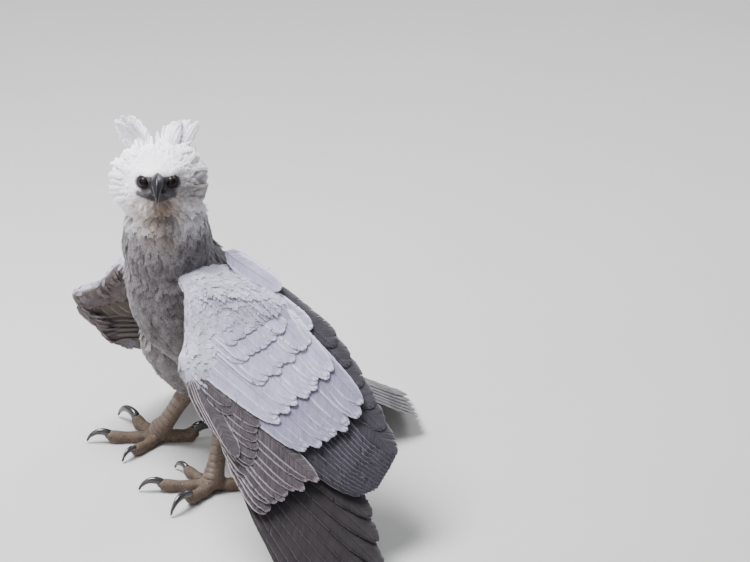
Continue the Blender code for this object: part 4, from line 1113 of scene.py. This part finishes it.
bars = maths(tree, "MULTIPLY", ramp(tree, wave, -0.2, 0.6), given["Bar Strength"])
shade = mix(tree, bars, given["Ground"], given["Bar"])
for share, colour in (
    (ramp(tree, cloud, 0.35, 0.75, 0.0, 0.35), "Bar"),
    (ramp(tree, streak, 0.40, 0.72, 0.0, 0.16), "Edge"),
    (ramp(tree, reach, 0.05, 0.02, 0.0, 0.6), "Bar"),
    (ramp(tree, own, -1.0, 2.5, 0.0, 0.28), "Bar"),
    (maths(tree, "MULTIPLY", edge, 0.88), "Edge"),
):
    shade = mix(tree, share, shade, given[colour])
# Painted shade: every vane's underside is blended halfway towards a brown-grey.
shaded_underside = mix(tree, 0.55, shade, (0.26, 0.22, 0.205, 1))
tree.links.new(mix(tree, mask(tree, "under"), shade, shaded_underside), result["Color"])
tree.links.new(maths(tree, "ADD", streak, ramp(tree, reach, 0.05, 0.0)), result["Height"])


def vane_material(name, ground, edge, bar, edge_width, bars, bar_strength, roughness):
    """A finish for large feathers."""
    made, tree, shader = new_material(name, roughness, Specular_IOR_Level=0.3, Sheen_Weight=0.15)
    colour, height = use_marks(tree, vane_marks, {
        "Ground": ground, "Edge": edge, "Bar": bar,
        "Edge Width": edge_width, "Bars": bars, "Bar Strength": bar_strength,
    })
    paint(tree, shader, colour)
    bump(tree, shader, height, 0.35, 0.0005)
    return made


greater_covert_material = vane_material(
    "greater_covert", (0.225, 0.208, 0.310), (0.60, 0.57, 0.72), (0.085, 0.076, 0.10), 0.30, 2.0, 0.14, 0.70)
covert_material = vane_material(
    "covert", (0.370, 0.345, 0.490), (0.76, 0.73, 0.90), (0.13, 0.118, 0.155), 0.36, 2.0, 0.10, 0.70)
# The under coverts are dark brown-grey: painted shade under the wings.
shaded_under_material = vane_material(
    "under_covert", (0.100, 0.078, 0.066), (0.13, 0.105, 0.092), (0.060, 0.045, 0.040), 0.30, 2.0, 0.10, 0.72)
hand_covert_material = vane_material(
    "hand_covert", (0.042, 0.032, 0.037), (0.40, 0.35, 0.38), (0.014, 0.010, 0.012), 0.20, 3.0, 0.25, 0.68)
arm_flight_material = vane_material(
    "arm_flight", (0.022, 0.018, 0.026), (0.17, 0.155, 0.195), (0.009, 0.007, 0.010), 0.10, 7.0, 0.35, 0.62)
hand_flight_material = vane_material(
    "hand_flight", (0.016, 0.012, 0.014), (0.085, 0.070, 0.080), (0.006, 0.004, 0.006), 0.10, 8.0, 0.45, 0.60)

PRIMARY_LENGTHS = (0.37, 0.39, 0.41, 0.44, 0.47, 0.49, 0.49, 0.47, 0.43, 0.38)
PRIMARY_WIDTH = 0.056
OUTER_PRIMARY_WIDTH = 0.04592
PRIMARY_TILT = 2.5
FIRST_PRIMARY = 0.12
# How much lower each primary's root lies than the last one's, and its tip on the floor.
PRIMARY_ROOT_STEP = 0.0009
PRIMARY_TIP_STEP = 0.0011
SECONDARIES = 15
SECONDARY_LENGTH = 0.36
SECONDARY_WIDTH = 0.056
TERTIAL_LENGTHS = (0.305, 0.275, 0.245, 0.215, 0.185)
# Rows of coverts: how many, from and to which place on the arm or hand, how far behind the bones
# the roots lie, the roots' height and the length at both ends, the width and how far the tips fall.
ARM_ROWS = (
    (15, 0.03, 1.06, 0.030, (0.0085, 0.0095), (0.222, 0.230), 0.040, -0.0020),
    (15, 0.03, 1.06, 0.012, (0.0125, 0.0140), (0.168, 0.164), 0.036, -0.0010),
    (14, 0.08, 1.05, -0.002, (0.0155, 0.0175), (0.120, 0.122), 0.034, 0.0000),
    (12, 0.26, 1.03, -0.014, (0.0180, 0.0200), (0.086, 0.090), 0.032, 0.0000),
    (10, 0.40, 1.00, -0.026, (0.0200, 0.0220), (0.064, 0.068), 0.030, 0.0000),
)
HAND_ROWS = (
    (10, 0.06, 0.98, 0.014, (0.0080, 0.0000), (0.262, 0.120), 0.036, 0.0000),
    (9, 0.08, 0.90, 0.004, (0.0105, 0.0040), (0.150, 0.085), 0.032, -0.0010),
    (8, 0.06, 0.86, -0.003, (0.0130, 0.0070), (0.085, 0.055), 0.028, -0.0010),
)
HAND_COVERT_TURN = 0.16
# The innermost hand coverts of the upper rows that the arm's coverts hide on the half-closed wing.
FOLDED_AWAY = {"left_wing": (0, 0, 0), "right_wing": (0, 2, 3)}
# Rows of scapulars: how many, from where to where, how far toward the shoulder and behind the bones,
# the length and width, and how high the roots lie.
SCAPULAR_ROWS = (
    (8, 1.25, 1.90, -0.03, -0.020, 0.098, 0.042, 0.022),
    (8, 1.08, 1.80, 0.10, 0.000, 0.145, 0.044, 0.026),
    (8, 1.10, 1.85, 0.26, 0.000, 0.115, 0.040, 0.030),
    (7, 1.12, 1.85, 0.42, 0.000, 0.090, 0.037, 0.033),
    (7, 1.12, 1.85, 0.58, 0.000, 0.068, 0.034, 0.035),
)
# The alula's feathers, along the hand's front edge, from the hindmost forward.
ALULA_LENGTHS = (0.155, 0.131, 0.107, 0.083)
ALULA_WIDTH = 0.028
# Rows under the arm and the hand: how many, from where to where, how far back, length and width.
UNDER_ARM_ROWS = (
    (14, 0.02, 0.98, 0.076, 0.175, 0.044),
    (14, 0.02, 1.00, 0.060, 0.130, 0.040),
    (13, 0.03, 0.98, 0.044, 0.095, 0.037),
    (12, 0.05, 0.96, 0.026, 0.064, 0.034),
)
UNDER_HAND_ROWS = (
    (11, 0.06, 0.98, 0.036, 0.100, 0.036),
    (10, 0.06, 0.95, 0.022, 0.075, 0.032),
)


def covert_row(wing, on_hand, sizes):
    """One row of coverts on the hand or the arm, from the wrist on."""
    count_in_row, start, end, back, rise, length, width, fall = sizes
    place = wing.hand if on_hand else wing.level_arm
    made = []
    for share in np.arange(count_in_row) / (count_in_row - 1):
        t = start + (end - start) * share
        if back < 0 and wing.skin_at(place(t, back)) is None:
            continue
        root = wing.rooted(place(t, back) + wing.up * (rise[0] * (1 - share) + rise[1] * share))
        size = (length[0] * (1 - share) + length[1] * share) * rng.uniform(0.95, 1.05)
        if on_hand:
            way = wing.hand_direction(HAND_COVERT_TURN + (1 - HAND_COVERT_TURN) * t)
        else:
            way = wing.arm_direction(t)
        along = unit(way - wing.up * fall / size + wing.arm_lead * rng.normal(0, 0.02))
        made.append(vane(root, along, wing.up, wing.arm_lead, size, width * rng.uniform(0.95, 1.1),
                         tilt=COVERT_TILT, **COVERT_BUILD))
    return made


for name, wing in wings.items():
    up, lead = wing.up, wing.arm_lead
    primaries, secondaries, hand_coverts, arm_coverts, scapulars, under_coverts = [], [], [], [], [], []
    last = len(PRIMARY_LENGTHS) - 1
    for i, length in enumerate(PRIMARY_LENGTHS):
        t = FIRST_PRIMARY + (1 - FIRST_PRIMARY) * i / last
        root = wing.hand(t, 0.012, -0.005 - PRIMARY_ROOT_STEP * i)
        along = unit(wing.hand_direction(t) - up * (0.010 + 0.0014 * i))
        width = OUTER_PRIMARY_WIDTH if i == last else PRIMARY_WIDTH
        rest = FLOOR_REST + PRIMARY_TIP_STEP * (last - i)
        primaries.append(vane(root, along, up, lead, length, width, LONG_OUTLINE, PRIMARY_TILT, rest=rest,
                              lead_share=0.36, splits=7))
    for i in range(SECONDARIES + len(TERTIAL_LENGTHS)):
        inner = max(0, i - SECONDARIES + 1)
        t = 0.03 + 0.97 * i / (SECONDARIES - 1) if inner == 0 else 1 + 0.11 * inner
        root = wing.level_arm(t, 0.010, 0.0007 * inner)
        length = TERTIAL_LENGTHS[inner - 1] if inner else SECONDARY_LENGTH * (1 - 0.02 * abs(i - 4) / 4)
        secondaries.append(vane(root, wing.arm_direction(t), up, lead, length, SECONDARY_WIDTH, LONG_OUTLINE,
                                COVERT_TILT, lead_share=0.42, splits=6))
    for sizes, hidden in zip(HAND_ROWS, FOLDED_AWAY[name]):
        hand_coverts += covert_row(wing, True, sizes)[hidden:]
    for i, length in enumerate(ALULA_LENGTHS):
        root = wing.rooted(wing.hand(0.24, -0.004, 0.013) + lead * (0.003 + 0.003 * i))
        along = unit(wing.hand_lead * 0.7 + wing.hand_direction(1.0) * 0.3 + up * (0.022 - 0.012 * i))
        hand_coverts.append(vane(root, along, up, lead, length, ALULA_WIDTH, LONG_OUTLINE, 2.0,
                                 lead_share=0.4))
    greater_coverts = covert_row(wing, False, ARM_ROWS[0])
    for sizes in ARM_ROWS[1:]:
        arm_coverts += covert_row(wing, False, sizes)
    for count_in_row, start, end, toward, behind, length, width, rise in SCAPULAR_ROWS:
        for t in np.linspace(start, end, count_in_row):
            line = wing.shoulder * toward + wing.arm(t, behind) * (1 - toward)
            root = wing.rooted(line + up * rise, 0.003)
            along = unit(wing.arm_direction(t) + up * 0.03 + lead * rng.normal(0, 0.03))
            size = length * rng.uniform(0.93, 1.07)
            scapulars.append(vane(root, along, up, lead, size, width, tilt=COVERT_TILT, **COVERT_BUILD))
    for rows, place, direction in (
        (UNDER_ARM_ROWS, wing.arm, wing.arm_direction),
        (UNDER_HAND_ROWS, wing.hand, wing.hand_direction),
    ):
        for count_in_row, start, end, behind, length, width in rows:
            for t in np.linspace(start, end, count_in_row):
                hit = wing.skin_at(place(t, behind), -1)
                if hit is None:
                    continue
                along = unit(direction(t) - up * 0.03)
                size = length * rng.uniform(0.95, 1.05)
                under_coverts.append(vane(np.array(hit) + up * 0.002, along, -up, lead, size, width,
                                          ROUND_OUTLINE, -1.0, splits=2, spacing=0.0060, arch=0.06))
    for kind, vanes, material, slot in (
        ("under_coverts", under_coverts, shaded_under_material, "covert_feather"),
        ("primaries", primaries, hand_flight_material, "dark_feather"),
        ("secondaries", secondaries, arm_flight_material, "dark_feather"),
        ("hand_coverts", hand_coverts, hand_covert_material, "dark_feather"),
        ("greater_coverts", greater_coverts, greater_covert_material, "covert_feather"),
        ("arm_coverts", arm_coverts, covert_material, "covert_feather"),
        ("scapulars", scapulars, covert_material, "covert_feather"),
    ):
        dress(join_vanes(f"{name}_{kind}", vanes), material)

# The tail: twelve long barred feathers, the middle ones on top, with coverts over and under their roots.
TAIL_FEATHERS = 12
TAIL_LENGTH = 0.375
TAIL_WIDTH = 0.050
TAIL_FAN = 15.0
LAYER_STEP = 0.00105
# Rows of tail coverts: above or below, how many, how high over the tail's line, how long.
TAIL_COVERT_ROWS = (
    (1, 9, 0.0165, 0.135),
    (1, 9, 0.0200, 0.095),
    (1, 8, 0.0235, 0.062),
    (-1, 8, 0.0145, 0.125),
    (-1, 7, 0.0180, 0.080),
)
TAIL_COVERT_WIDTH = 0.034
TAIL_ROOT_HALF_WIDTH = 0.024
tail_material = vane_material(
    "tail_feather", (0.085, 0.076, 0.086), (0.33, 0.31, 0.34), (0.010, 0.008, 0.010), 0.10, 5.0, 0.92, 0.62)


def from_middle(i, number):
    """How many feathers lie over the i-th of a fan stacked from its middle outward."""
    place = i - (number - 1) / 2
    return 2 * abs(place) - (1 if place > 0 else 0)


tail_up = unit(np.cross((1, 0, 0), tail_down))
tail_side = np.array((1.0, 0.0, 0.0))
tail_feathers, tail_coverts = [], []
for i in range(TAIL_FEATHERS):
    place = 2 * i / (TAIL_FEATHERS - 1) - 1
    below = LAYER_STEP * from_middle(i, TAIL_FEATHERS)
    angle = np.radians(TAIL_FAN * place)
    along = tail_down * np.cos(angle) + tail_side * np.sin(angle)
    root = TAIL_ROOT + tail_down * 0.01 + tail_up * (0.0055 - below)
    root = root + tail_side * TAIL_ROOT_HALF_WIDTH * place
    rest = FLOOR_REST + LAYER_STEP * (TAIL_FEATHERS - 1) - below
    length = TAIL_LENGTH * (1.0 - 0.1 * abs(place))
    tail_feathers.append(vane(root, along, tail_up, tail_side * (1 if place > 0 else -1), length, TAIL_WIDTH,
                              LONG_OUTLINE, rest=rest, lead_share=0.42, splits=6))
for facing, number, height, length in TAIL_COVERT_ROWS:
    for i in range(number):
        place = 2 * i / (number - 1) - 1
        along = unit(tail_down + tail_side * 0.2 * place + tail_up * facing * 0.01)
        root = TAIL_ROOT + tail_down * (0.031 - 2 * height) + tail_side * TAIL_ROOT_HALF_WIDTH * place
        root = root + tail_up * facing * (height - 0.0006 * from_middle(i, number))
        size = length * (1.08 - 0.2 * abs(place))
        tail_coverts.append(vane(root, along, tail_up * facing, tail_side, size, TAIL_COVERT_WIDTH,
                                 **COVERT_BUILD))
dress(join_vanes("tail_feathers", tail_feathers), tail_material)
dress(join_vanes("tail_coverts", tail_coverts), hand_covert_material)

# The crest: two tufts of broad soft feathers on the crown, raised and curling, with smaller ones between.
# They're vanes like the wing's, thinner and more frayed.
CREST_OUTLINE = (0.30, 0.50, 0.55, 2.0)
CREST_BUILD = {"outline": CREST_OUTLINE, "spacing": 0.0030, "arch": 0.30, "ragged": 0.35}
CREST_LENGTH = 0.078
CREST_FEATHERS = 18
SMALL_CREST_FEATHERS = 14
# Each tuft: its side, how tall, from where to where on the crown, how much its feathers bend and which
# share of that goes outward.
CREST_SIDES = (
    (1, 0.84, 0.15, 0.62, (0.004, 0.014), 0.3),
    (-1, 0.98, 0.20, 0.62, (0.022, 0.046), 0.8),
)
crest_material = vane_material(
    "crest_feather", (0.78, 0.76, 0.81), (0.90, 0.88, 0.92), (0.50, 0.48, 0.53), 0.45, 1.0, 0.0, 0.75)
crest = []
for side, tall, inner, outer, bends, outward in CREST_SIDES:
    for i in range(CREST_FEATHERS):
        t = inner + (outer - inner) * (i + 0.5) / CREST_FEATHERS
        spread = rng.normal(0, 0.10, 3)
        root = in_head(-0.008 - 0.028 * t, side * (0.010 + 0.036 * t), 0.054 - 0.012 * t)
        along = np.array((-0.55 - 0.12 * t, side * (0.06 + 0.46 * t), 0.90 - 0.26 * t)) @ head_axes
        top = unit(face_forward * (1.1 - outward * 0.5) + face_up * 0.3 + face_left * side * outward)
        length = CREST_LENGTH * tall * (0.68 + 0.32 * np.sin(np.pi * t)) * rng.uniform(0.70, 1.06)
        crest.append(vane(root, unit(along + spread), top, face_left * side, length,
                          rng.uniform(0.018, 0.032), tilt=rng.normal(0, 14), bend=rng.uniform(*bends),
                          splits=12, **CREST_BUILD))
for i in range(SMALL_CREST_FEATHERS):
    side = rng.uniform(-1, 1)
    root = in_head(-0.004 - 0.030 * rng.uniform(), side * 0.024, 0.053 - 0.004 * abs(side))
    along = unit(face_up * 0.85 + face_left * side * 0.35 - face_forward * 0.55 + rng.normal(0, 0.14, 3))
    crest.append(vane(root, along, unit(face_forward + face_up * 0.5), face_left, rng.uniform(0.034, 0.052),
                      rng.uniform(0.006, 0.010), tilt=rng.normal(0, 18), bend=rng.uniform(0.0, 0.010),
                      splits=6, **CREST_BUILD))
dress(join_vanes("crest", crest), crest_material)

# The eyes: large wet balls with a clear bulge over a dark brown iris and a round pupil, set deep
# between lids of dark wrinkled skin. Each ball sits in its own socket and each lid is a ring round it.
EYE_RADIUS = 0.0115
EYE_OUTWARD = 30.0
LID_HALF_SIZES = (0.0110, 0.0102)
LID_THICKNESS = 0.0019
eye_material, tree, shader = new_material(
    "eyeball", 0.35, Specular_IOR_Level=0.05, Coat_Weight=0.16, Coat_Roughness=0.04)
gaze = mask(tree, "gaze")
fibres = noise(tree, place_of(tree), 900.0, 2.0)
iris = mix(tree, fibres, (0.006, 0.004, 0.003, 1), (0.020, 0.012, 0.009, 1))
ball = mix(tree, ramp(tree, gaze, 0.80, 0.76), iris, (0.004, 0.003, 0.004, 1))
pupil = ramp(tree, gaze, 0.955, 0.965)
paint(tree, shader, mix(tree, pupil, ball, (0.002, 0.002, 0.002, 1)))

face_material, tree, shader = new_material("face_skin", 0.6, Specular_IOR_Level=0.2)
place = place_of(tree)
mottle = noise(tree, place, 260.0)
wrinkles = put(tree, "TexVoronoi", {"Vector": place, "Scale": 700.0}, feature="DISTANCE_TO_EDGE").outputs[0]
paint(tree, shader, mix(tree, mottle, (0.006, 0.005, 0.006, 1), (0.020, 0.018, 0.020, 1)))
bump(tree, shader, ramp(tree, wrinkles, 0.0, 0.2), 0.5, 0.0004)


def hoop(centre, first, second, half_sizes, thickness, around=72, section=14):
    """A closed ring in the plane of two directions, thicker on top and finely wrinkled."""
    turns = 2 * np.pi * np.arange(around) / around
    bends = 2 * np.pi * np.arange(section) / section
    radial = first * np.cos(turns)[:, None] + second * np.sin(turns)[:, None]
    line = first * np.cos(turns)[:, None] * half_sizes[0] + second * np.sin(turns)[:, None] * half_sizes[1]
    out = unit(np.cross(first, second))
    thick = thickness * (1 + 0.35 * np.maximum(np.sin(turns), 0) + 0.10 * np.sin(turns * 23))
    ring_points = line[:, None] + radial[:, None] * (thick[:, None] * np.cos(bends))[..., None]
    ring_points = ring_points + out * (thick[:, None] * np.sin(bends) * 0.8)[..., None]
    faces = []
    for i in range(around):
        for j in range(section):
            k, m = (i + 1) % around, (j + 1) % section
            faces.append((i * section + j, k * section + j, k * section + m, i * section + m))
    return np.array(centre) + ring_points.reshape(-1, 3), faces


for side, name in ((1, "left"), (-1, "right")):
    turned = np.radians(EYE_OUTWARD)
    out = face_forward * np.cos(turned) + face_left * side * np.sin(turned)
    beside = unit(np.cross(face_up, out))
    centre = in_head(EYE_PLACE[0], side * EYE_PLACE[1], EYE_PLACE[2])
    rows = [(*(centre + out * EYE_RADIUS * share), *[EYE_RADIUS * np.sqrt(1 - share**2)] * 2)
            for share in np.linspace(-1, 1, 9)]
    points, faces = tube(rows, face_up, 48, 6)
    gaze = unit(points - centre) @ out
    points = centre + (points - centre) * (1 + 0.07 * soft_step(gaze, 0.72, 0.93))[:, None]
    piece = make_piece(name + "_eyeball", points, faces)
    set_mask(piece, "gaze", gaze)
    dress(piece, eye_material)
    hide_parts(name + "_eye")
    points, faces = hoop(centre + out * 0.0042, beside, face_up, LID_HALF_SIZES, LID_THICKNESS)
    dress(make_piece(name + "_lids", points, faces), face_material)

# The bill: short, deep and hooked, of dark glossy horn, with a softer cere over its root in which the
# nostrils open. The lower half fits inside the upper one along the line of the mouth.
UPPER_BILL_ROWS = (
    (0.050, 0.000, 0.0000, 0.0000),
    (0.057, 0.001, 0.0150, 0.0165),
    (0.070, 0.002, 0.0135, 0.0155),
    (0.082, -0.001, 0.0110, 0.0130),
    (0.0905, -0.008, 0.0078, 0.0098),
    (0.0947, -0.019, 0.0048, 0.0062),
    (0.0950, -0.029, 0.0023, 0.0032),
    (0.0940, -0.035, 0.0000, 0.0000),
)
LOWER_BILL_ROWS = (
    (0.048, -0.0150, 0.0000, 0.0000),
    (0.056, -0.0160, 0.0120, 0.0055),
    (0.069, -0.0170, 0.0105, 0.0055),
    (0.080, -0.0180, 0.0070, 0.0042),
    (0.086, -0.0185, 0.0000, 0.0000),
)
CERE_END = 0.0715
NOSTRIL_PLACE = (0.0665, 0.0050)
NOSTRIL_HALF_SIZES = (0.0022, 0.0036)
NOSTRIL_DEPTH = 0.0022


def culmen(angles):
    """A bill's section: drawn in beside a narrow ridge on top."""
    top = np.clip(np.sin(angles), 0, 1)
    return 1 - 0.26 * top * np.abs(np.cos(angles)) + 0.03 * np.exp(-(((angles - np.pi / 2) / 0.2) ** 2))


bill_material, tree, shader = new_material(
    "bill_horn", 0.32, Specular_IOR_Level=0.35, Coat_Weight=0.20, Coat_Roughness=0.15)
place = place_of(tree)
grain = noise(tree, put(tree, "Mapping", {0: place, 3: (160.0, 160.0, 40.0)}).outputs[0], 1.0)
horn = mix(tree, grain, (0.006, 0.005, 0.006, 1), (0.018, 0.015, 0.018, 1))
skin_tone = mix(tree, noise(tree, place, 300.0), (0.024, 0.022, 0.025, 1), (0.060, 0.056, 0.062, 1))
colour = mix(tree, mask(tree, "cere"), horn, skin_tone)
# The nostrils are painted near black: painted shade inside their openings.
paint(tree, shader, mix(tree, mask(tree, "hole"), colour, (0.004, 0.003, 0.004, 1)))
bump(tree, shader, grain, 0.12, 0.0004)
for name, rows, section in (("upper_bill", UPPER_BILL_ROWS, culmen), ("lower_bill", LOWER_BILL_ROWS, None)):
    rows = [(*in_head(f, 0, u), wide, high) for f, u, wide, high in rows]
    points, faces = tube(rows, face_left, 64, 10, ridge=section)
    local = (points - np.array(HEAD_CENTRE)) @ head_axes.T
    cere = soft_step(CERE_END - local[:, 0] + 0.15 * (local[:, 2] - 0.002), 0.0, 0.0014)
    hole = np.zeros(len(points))
    if section is not None:
        place = (local[:, (0, 2)] - NOSTRIL_PLACE) @ np.array(((0.94, 0.34), (-0.34, 0.94)))
        distance = np.hypot(*(place / NOSTRIL_HALF_SIZES).T)
        hole = soft_step(1.05 - distance, 0.0, 0.45) * (np.abs(local[:, 1]) > 0.005)
        lip = 0.0004 * np.exp(-(((distance - 1.35) / 0.25) ** 2)) - NOSTRIL_DEPTH * hole
        local[:, 1] += np.sign(local[:, 1]) * lip
        local[:, 0:3:2] *= 1 + 0.006 * cere[:, None]
        local[:, 1] *= 1 + 0.035 * cere
    piece = make_piece(name + "_horn", np.array(HEAD_CENTRE) + local @ head_axes, faces)
    set_mask(piece, "cere", cere)
    set_mask(piece, "hole", hole)
    dress(piece, bill_material)
    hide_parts(name)

# The feet: raised plates of horny skin down the front of each bare leg and along the top of each toe,
# and four long curved claws, the hind one by far the strongest, each growing from its toe's end.
# A claw from root to point: share of its length, and of its thickness.
CLAW_ROWS = (
    (-0.06, 0.0), (0.02, 1.0), (0.2, 0.93), (0.4, 0.78), (0.6, 0.60), (0.8, 0.38), (0.94, 0.16), (1.0, 0.0),
)
PLATE_GRID = (11, 7)
PLATE_RAISE = 0.0009
PLATE_SINK = 0.0006
plate_material, tree, shader = new_material("foot_plate", 0.5, Specular_IOR_Level=0.4)
place = place_of(tree)
mottle = noise(tree, place, 120.0)
tan = mix(tree, mottle, (0.090, 0.064, 0.050, 1), (0.210, 0.155, 0.120, 1))
tan = mix(tree, ramp(tree, mask(tree, "rim"), 0.75, 1.0, 0.0, 0.7), tan, (0.060, 0.040, 0.030, 1))
tan = mix(tree, ramp(tree, noise(tree, place, 35.0), 0.5, 0.7, 0.0, 0.6), tan, (0.085, 0.058, 0.044, 1))
paint(tree, shader, tan)
bump(tree, shader, noise(tree, place, 900.0), 0.2, 0.0003)
claw_material, tree, shader = new_material(
    "claw_horn", 0.22, Specular_IOR_Level=0.55, Coat_Weight=0.4, Coat_Roughness=0.12)
place = place_of(tree)
grain = noise(tree, place, 150.0)
paint(tree, shader, mix(tree, grain, (0.014, 0.012, 0.013, 1), (0.050, 0.043, 0.046, 1)))
bump(tree, shader, grain, 0.1, 0.0004)


def plates(rows, across, starts, size, half_angle):
    """Raised plates on the front of a rounded form, each from one share of its length to the next."""
    rows = np.array(rows, float)
    rows[:, 3:] **= 2
    fine = smooth(rows, 8)
    spots = np.linspace(0, 1, len(fine))
    ways = unit(np.gradient(fine[:, :3], axis=0))
    grid_u, grid_v = np.meshgrid(*(np.linspace(-1, 1, size) for size in PLATE_GRID), indexing="ij")
    height = (1 - grid_u**6) * (1 - grid_v**6) * (PLATE_RAISE + PLATE_SINK) - PLATE_SINK
    points, rims = [], []
    for start in starts:
        share = start + size * (grid_v * 0.5 + 0.06 * grid_u**2)
        centre = along_line(fine[:, :3], spots, share)
        way = along_line(ways, spots, share)
        wide = np.sqrt(np.interp(share, spots, fine[:, 3]))
        deep = np.sqrt(np.interp(share, spots, fine[:, 4]))
        side = unit(across - way * (way @ across)[..., None])
        front = np.cross(way, side)
        angle = grid_u * half_angle
        place = side * ((wide + height) * np.sin(angle))[..., None]
        points.append(centre + place + front * ((deep + height) * np.cos(angle))[..., None])
        rims.append(np.maximum(np.abs(grid_u), np.abs(grid_v)))
    grid = np.arange(grid_u.size).reshape(PLATE_GRID)
    faces = np.stack([grid[:-1, :-1], grid[1:, :-1], grid[1:, 1:], grid[:-1, 1:]], axis=-1).reshape(-1, 4)
    faces = np.concatenate([faces + grid.size * i for i in range(len(points))])
    return np.concatenate([block.reshape(-1, 3) for block in points]), faces, np.ravel(rims)


for index, name in enumerate(("right", "left")):
    blocks = [plates(leg_rows(index)[1], np.array((1.0, 0, 0)), np.linspace(0.26, 0.70, 8), 0.058, 1.25)]
    for number in range(4):
        rows, out, root, radius, thick = toe_layout(index, number)
        across = np.array((out[1], -out[0], 0.0))
        starts = np.linspace(0.26, 0.83, 8 if number else 6)
        blocks.append(plates(rows, across, starts, (starts[1] - starts[0]) * 0.98, 1.05))
        spine = []
        for share, width in CLAW_ROWS:
            heading = np.radians(CLAW_RISE - CLAW_CURVE * share)
            rise = np.radians(CLAW_RISE)
            ahead = radius * (np.sin(rise) - np.sin(heading))
            down = radius * (np.cos(heading) - np.cos(rise))
            spine.append((*(root + out * ahead + (0, 0, down)), thick * 0.86 * width, thick * width))
        points, faces = tube(spine, across, 24, 6)
        piece = make_piece(f"{name}_talon_{number + 1}", points, faces)
        dress(piece, claw_material)
        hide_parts(f"{name}_claw_{number + 1}")
    starts = np.cumsum([0] + [len(block[0]) for block in blocks])
    points, rims = (np.concatenate([block[k] for block in blocks]) for k in (0, 2))
    faces = np.concatenate([block[1] + start for block, start in zip(blocks, starts)])
    dress(big_mesh(name + "_foot_plates", points, faces, {"rim": rims}), plate_material)

# The floor, the light and the camera: a plain pale floor under soft light from above, seen from the
# photograph's height and side.
floor = make_piece("floor", [(-9, -9, 0), (9, -9, 0), (9, 9, 0), (-9, 9, 0)], [(0, 1, 2, 3)])
floor_material, tree, shader = new_material("pale_floor", 0.85, Specular_IOR_Level=0.2)
cloud = noise(tree, place_of(tree), 3.0)
paint(tree, shader, mix(tree, cloud, (0.50, 0.49, 0.475, 1), (0.54, 0.53, 0.515, 1)))
floor.data.materials.append(floor_material)


def add_light(name, place, aim, size, power, colour):
    """A square soft light."""
    lamp = bpy.data.lights.new(name, "AREA")
    lamp.size = size
    lamp.energy = power
    lamp.color = colour
    made = bpy.data.objects.new(name, lamp)
    made.location = np.array(place) + ORIGIN
    made.rotation_mode = "QUATERNION"
    made.rotation_quaternion = Vector(np.array(aim) - np.array(place)).to_track_quat("-Z", "Y")
    bpy.context.scene.collection.objects.link(made)


add_light("sky_light", (-0.45, -0.7, 2.6), (0.05, 0.0, 0.3), 1.3, 215, (0.97, 0.97, 1.0))
add_light("front_light", (0.1, -2.4, 1.5), (0.05, 0.0, 0.35), 1.4, 22, (1.0, 0.98, 0.95))
add_light("back_light", (-0.6, 2.2, 2.0), (0.05, 0.0, 0.35), 1.2, 36, (0.95, 0.97, 1.0))
world = bpy.data.worlds.new("studio")
world.use_nodes = True
world.node_tree.nodes["Background"].inputs["Color"].default_value = (0.80, 0.84, 0.90, 1)
world.node_tree.nodes["Background"].inputs["Strength"].default_value = 0.60
bpy.context.scene.world = world

CAMERA_SIDE, CAMERA_HEIGHT, CAMERA_DISTANCE = np.radians(58), np.radians(28), 8.0
CAMERA_YAW, CAMERA_PITCH = np.radians(55.4764), np.radians(25.7933)
camera_data = bpy.data.cameras.new("camera")
camera_data.sensor_width = 36.0
camera_data.lens = 225.6
camera_data.clip_start = 0.1
camera_data.clip_end = 100.0
camera = bpy.data.objects.new("camera", camera_data)
level = np.cos(CAMERA_HEIGHT)
outward = np.array((np.sin(CAMERA_SIDE) * level, -np.cos(CAMERA_SIDE) * level, np.sin(CAMERA_HEIGHT)))
camera.location = outward * CAMERA_DISTANCE + ORIGIN
level = np.cos(CAMERA_PITCH)
back = Vector((np.sin(CAMERA_YAW) * level, -np.cos(CAMERA_YAW) * level, np.sin(CAMERA_PITCH)))
camera.rotation_mode = "QUATERNION"
camera.rotation_quaternion = (-back).to_track_quat("-Z", "Y")
bpy.context.scene.collection.objects.link(camera)
bpy.context.scene.camera = camera
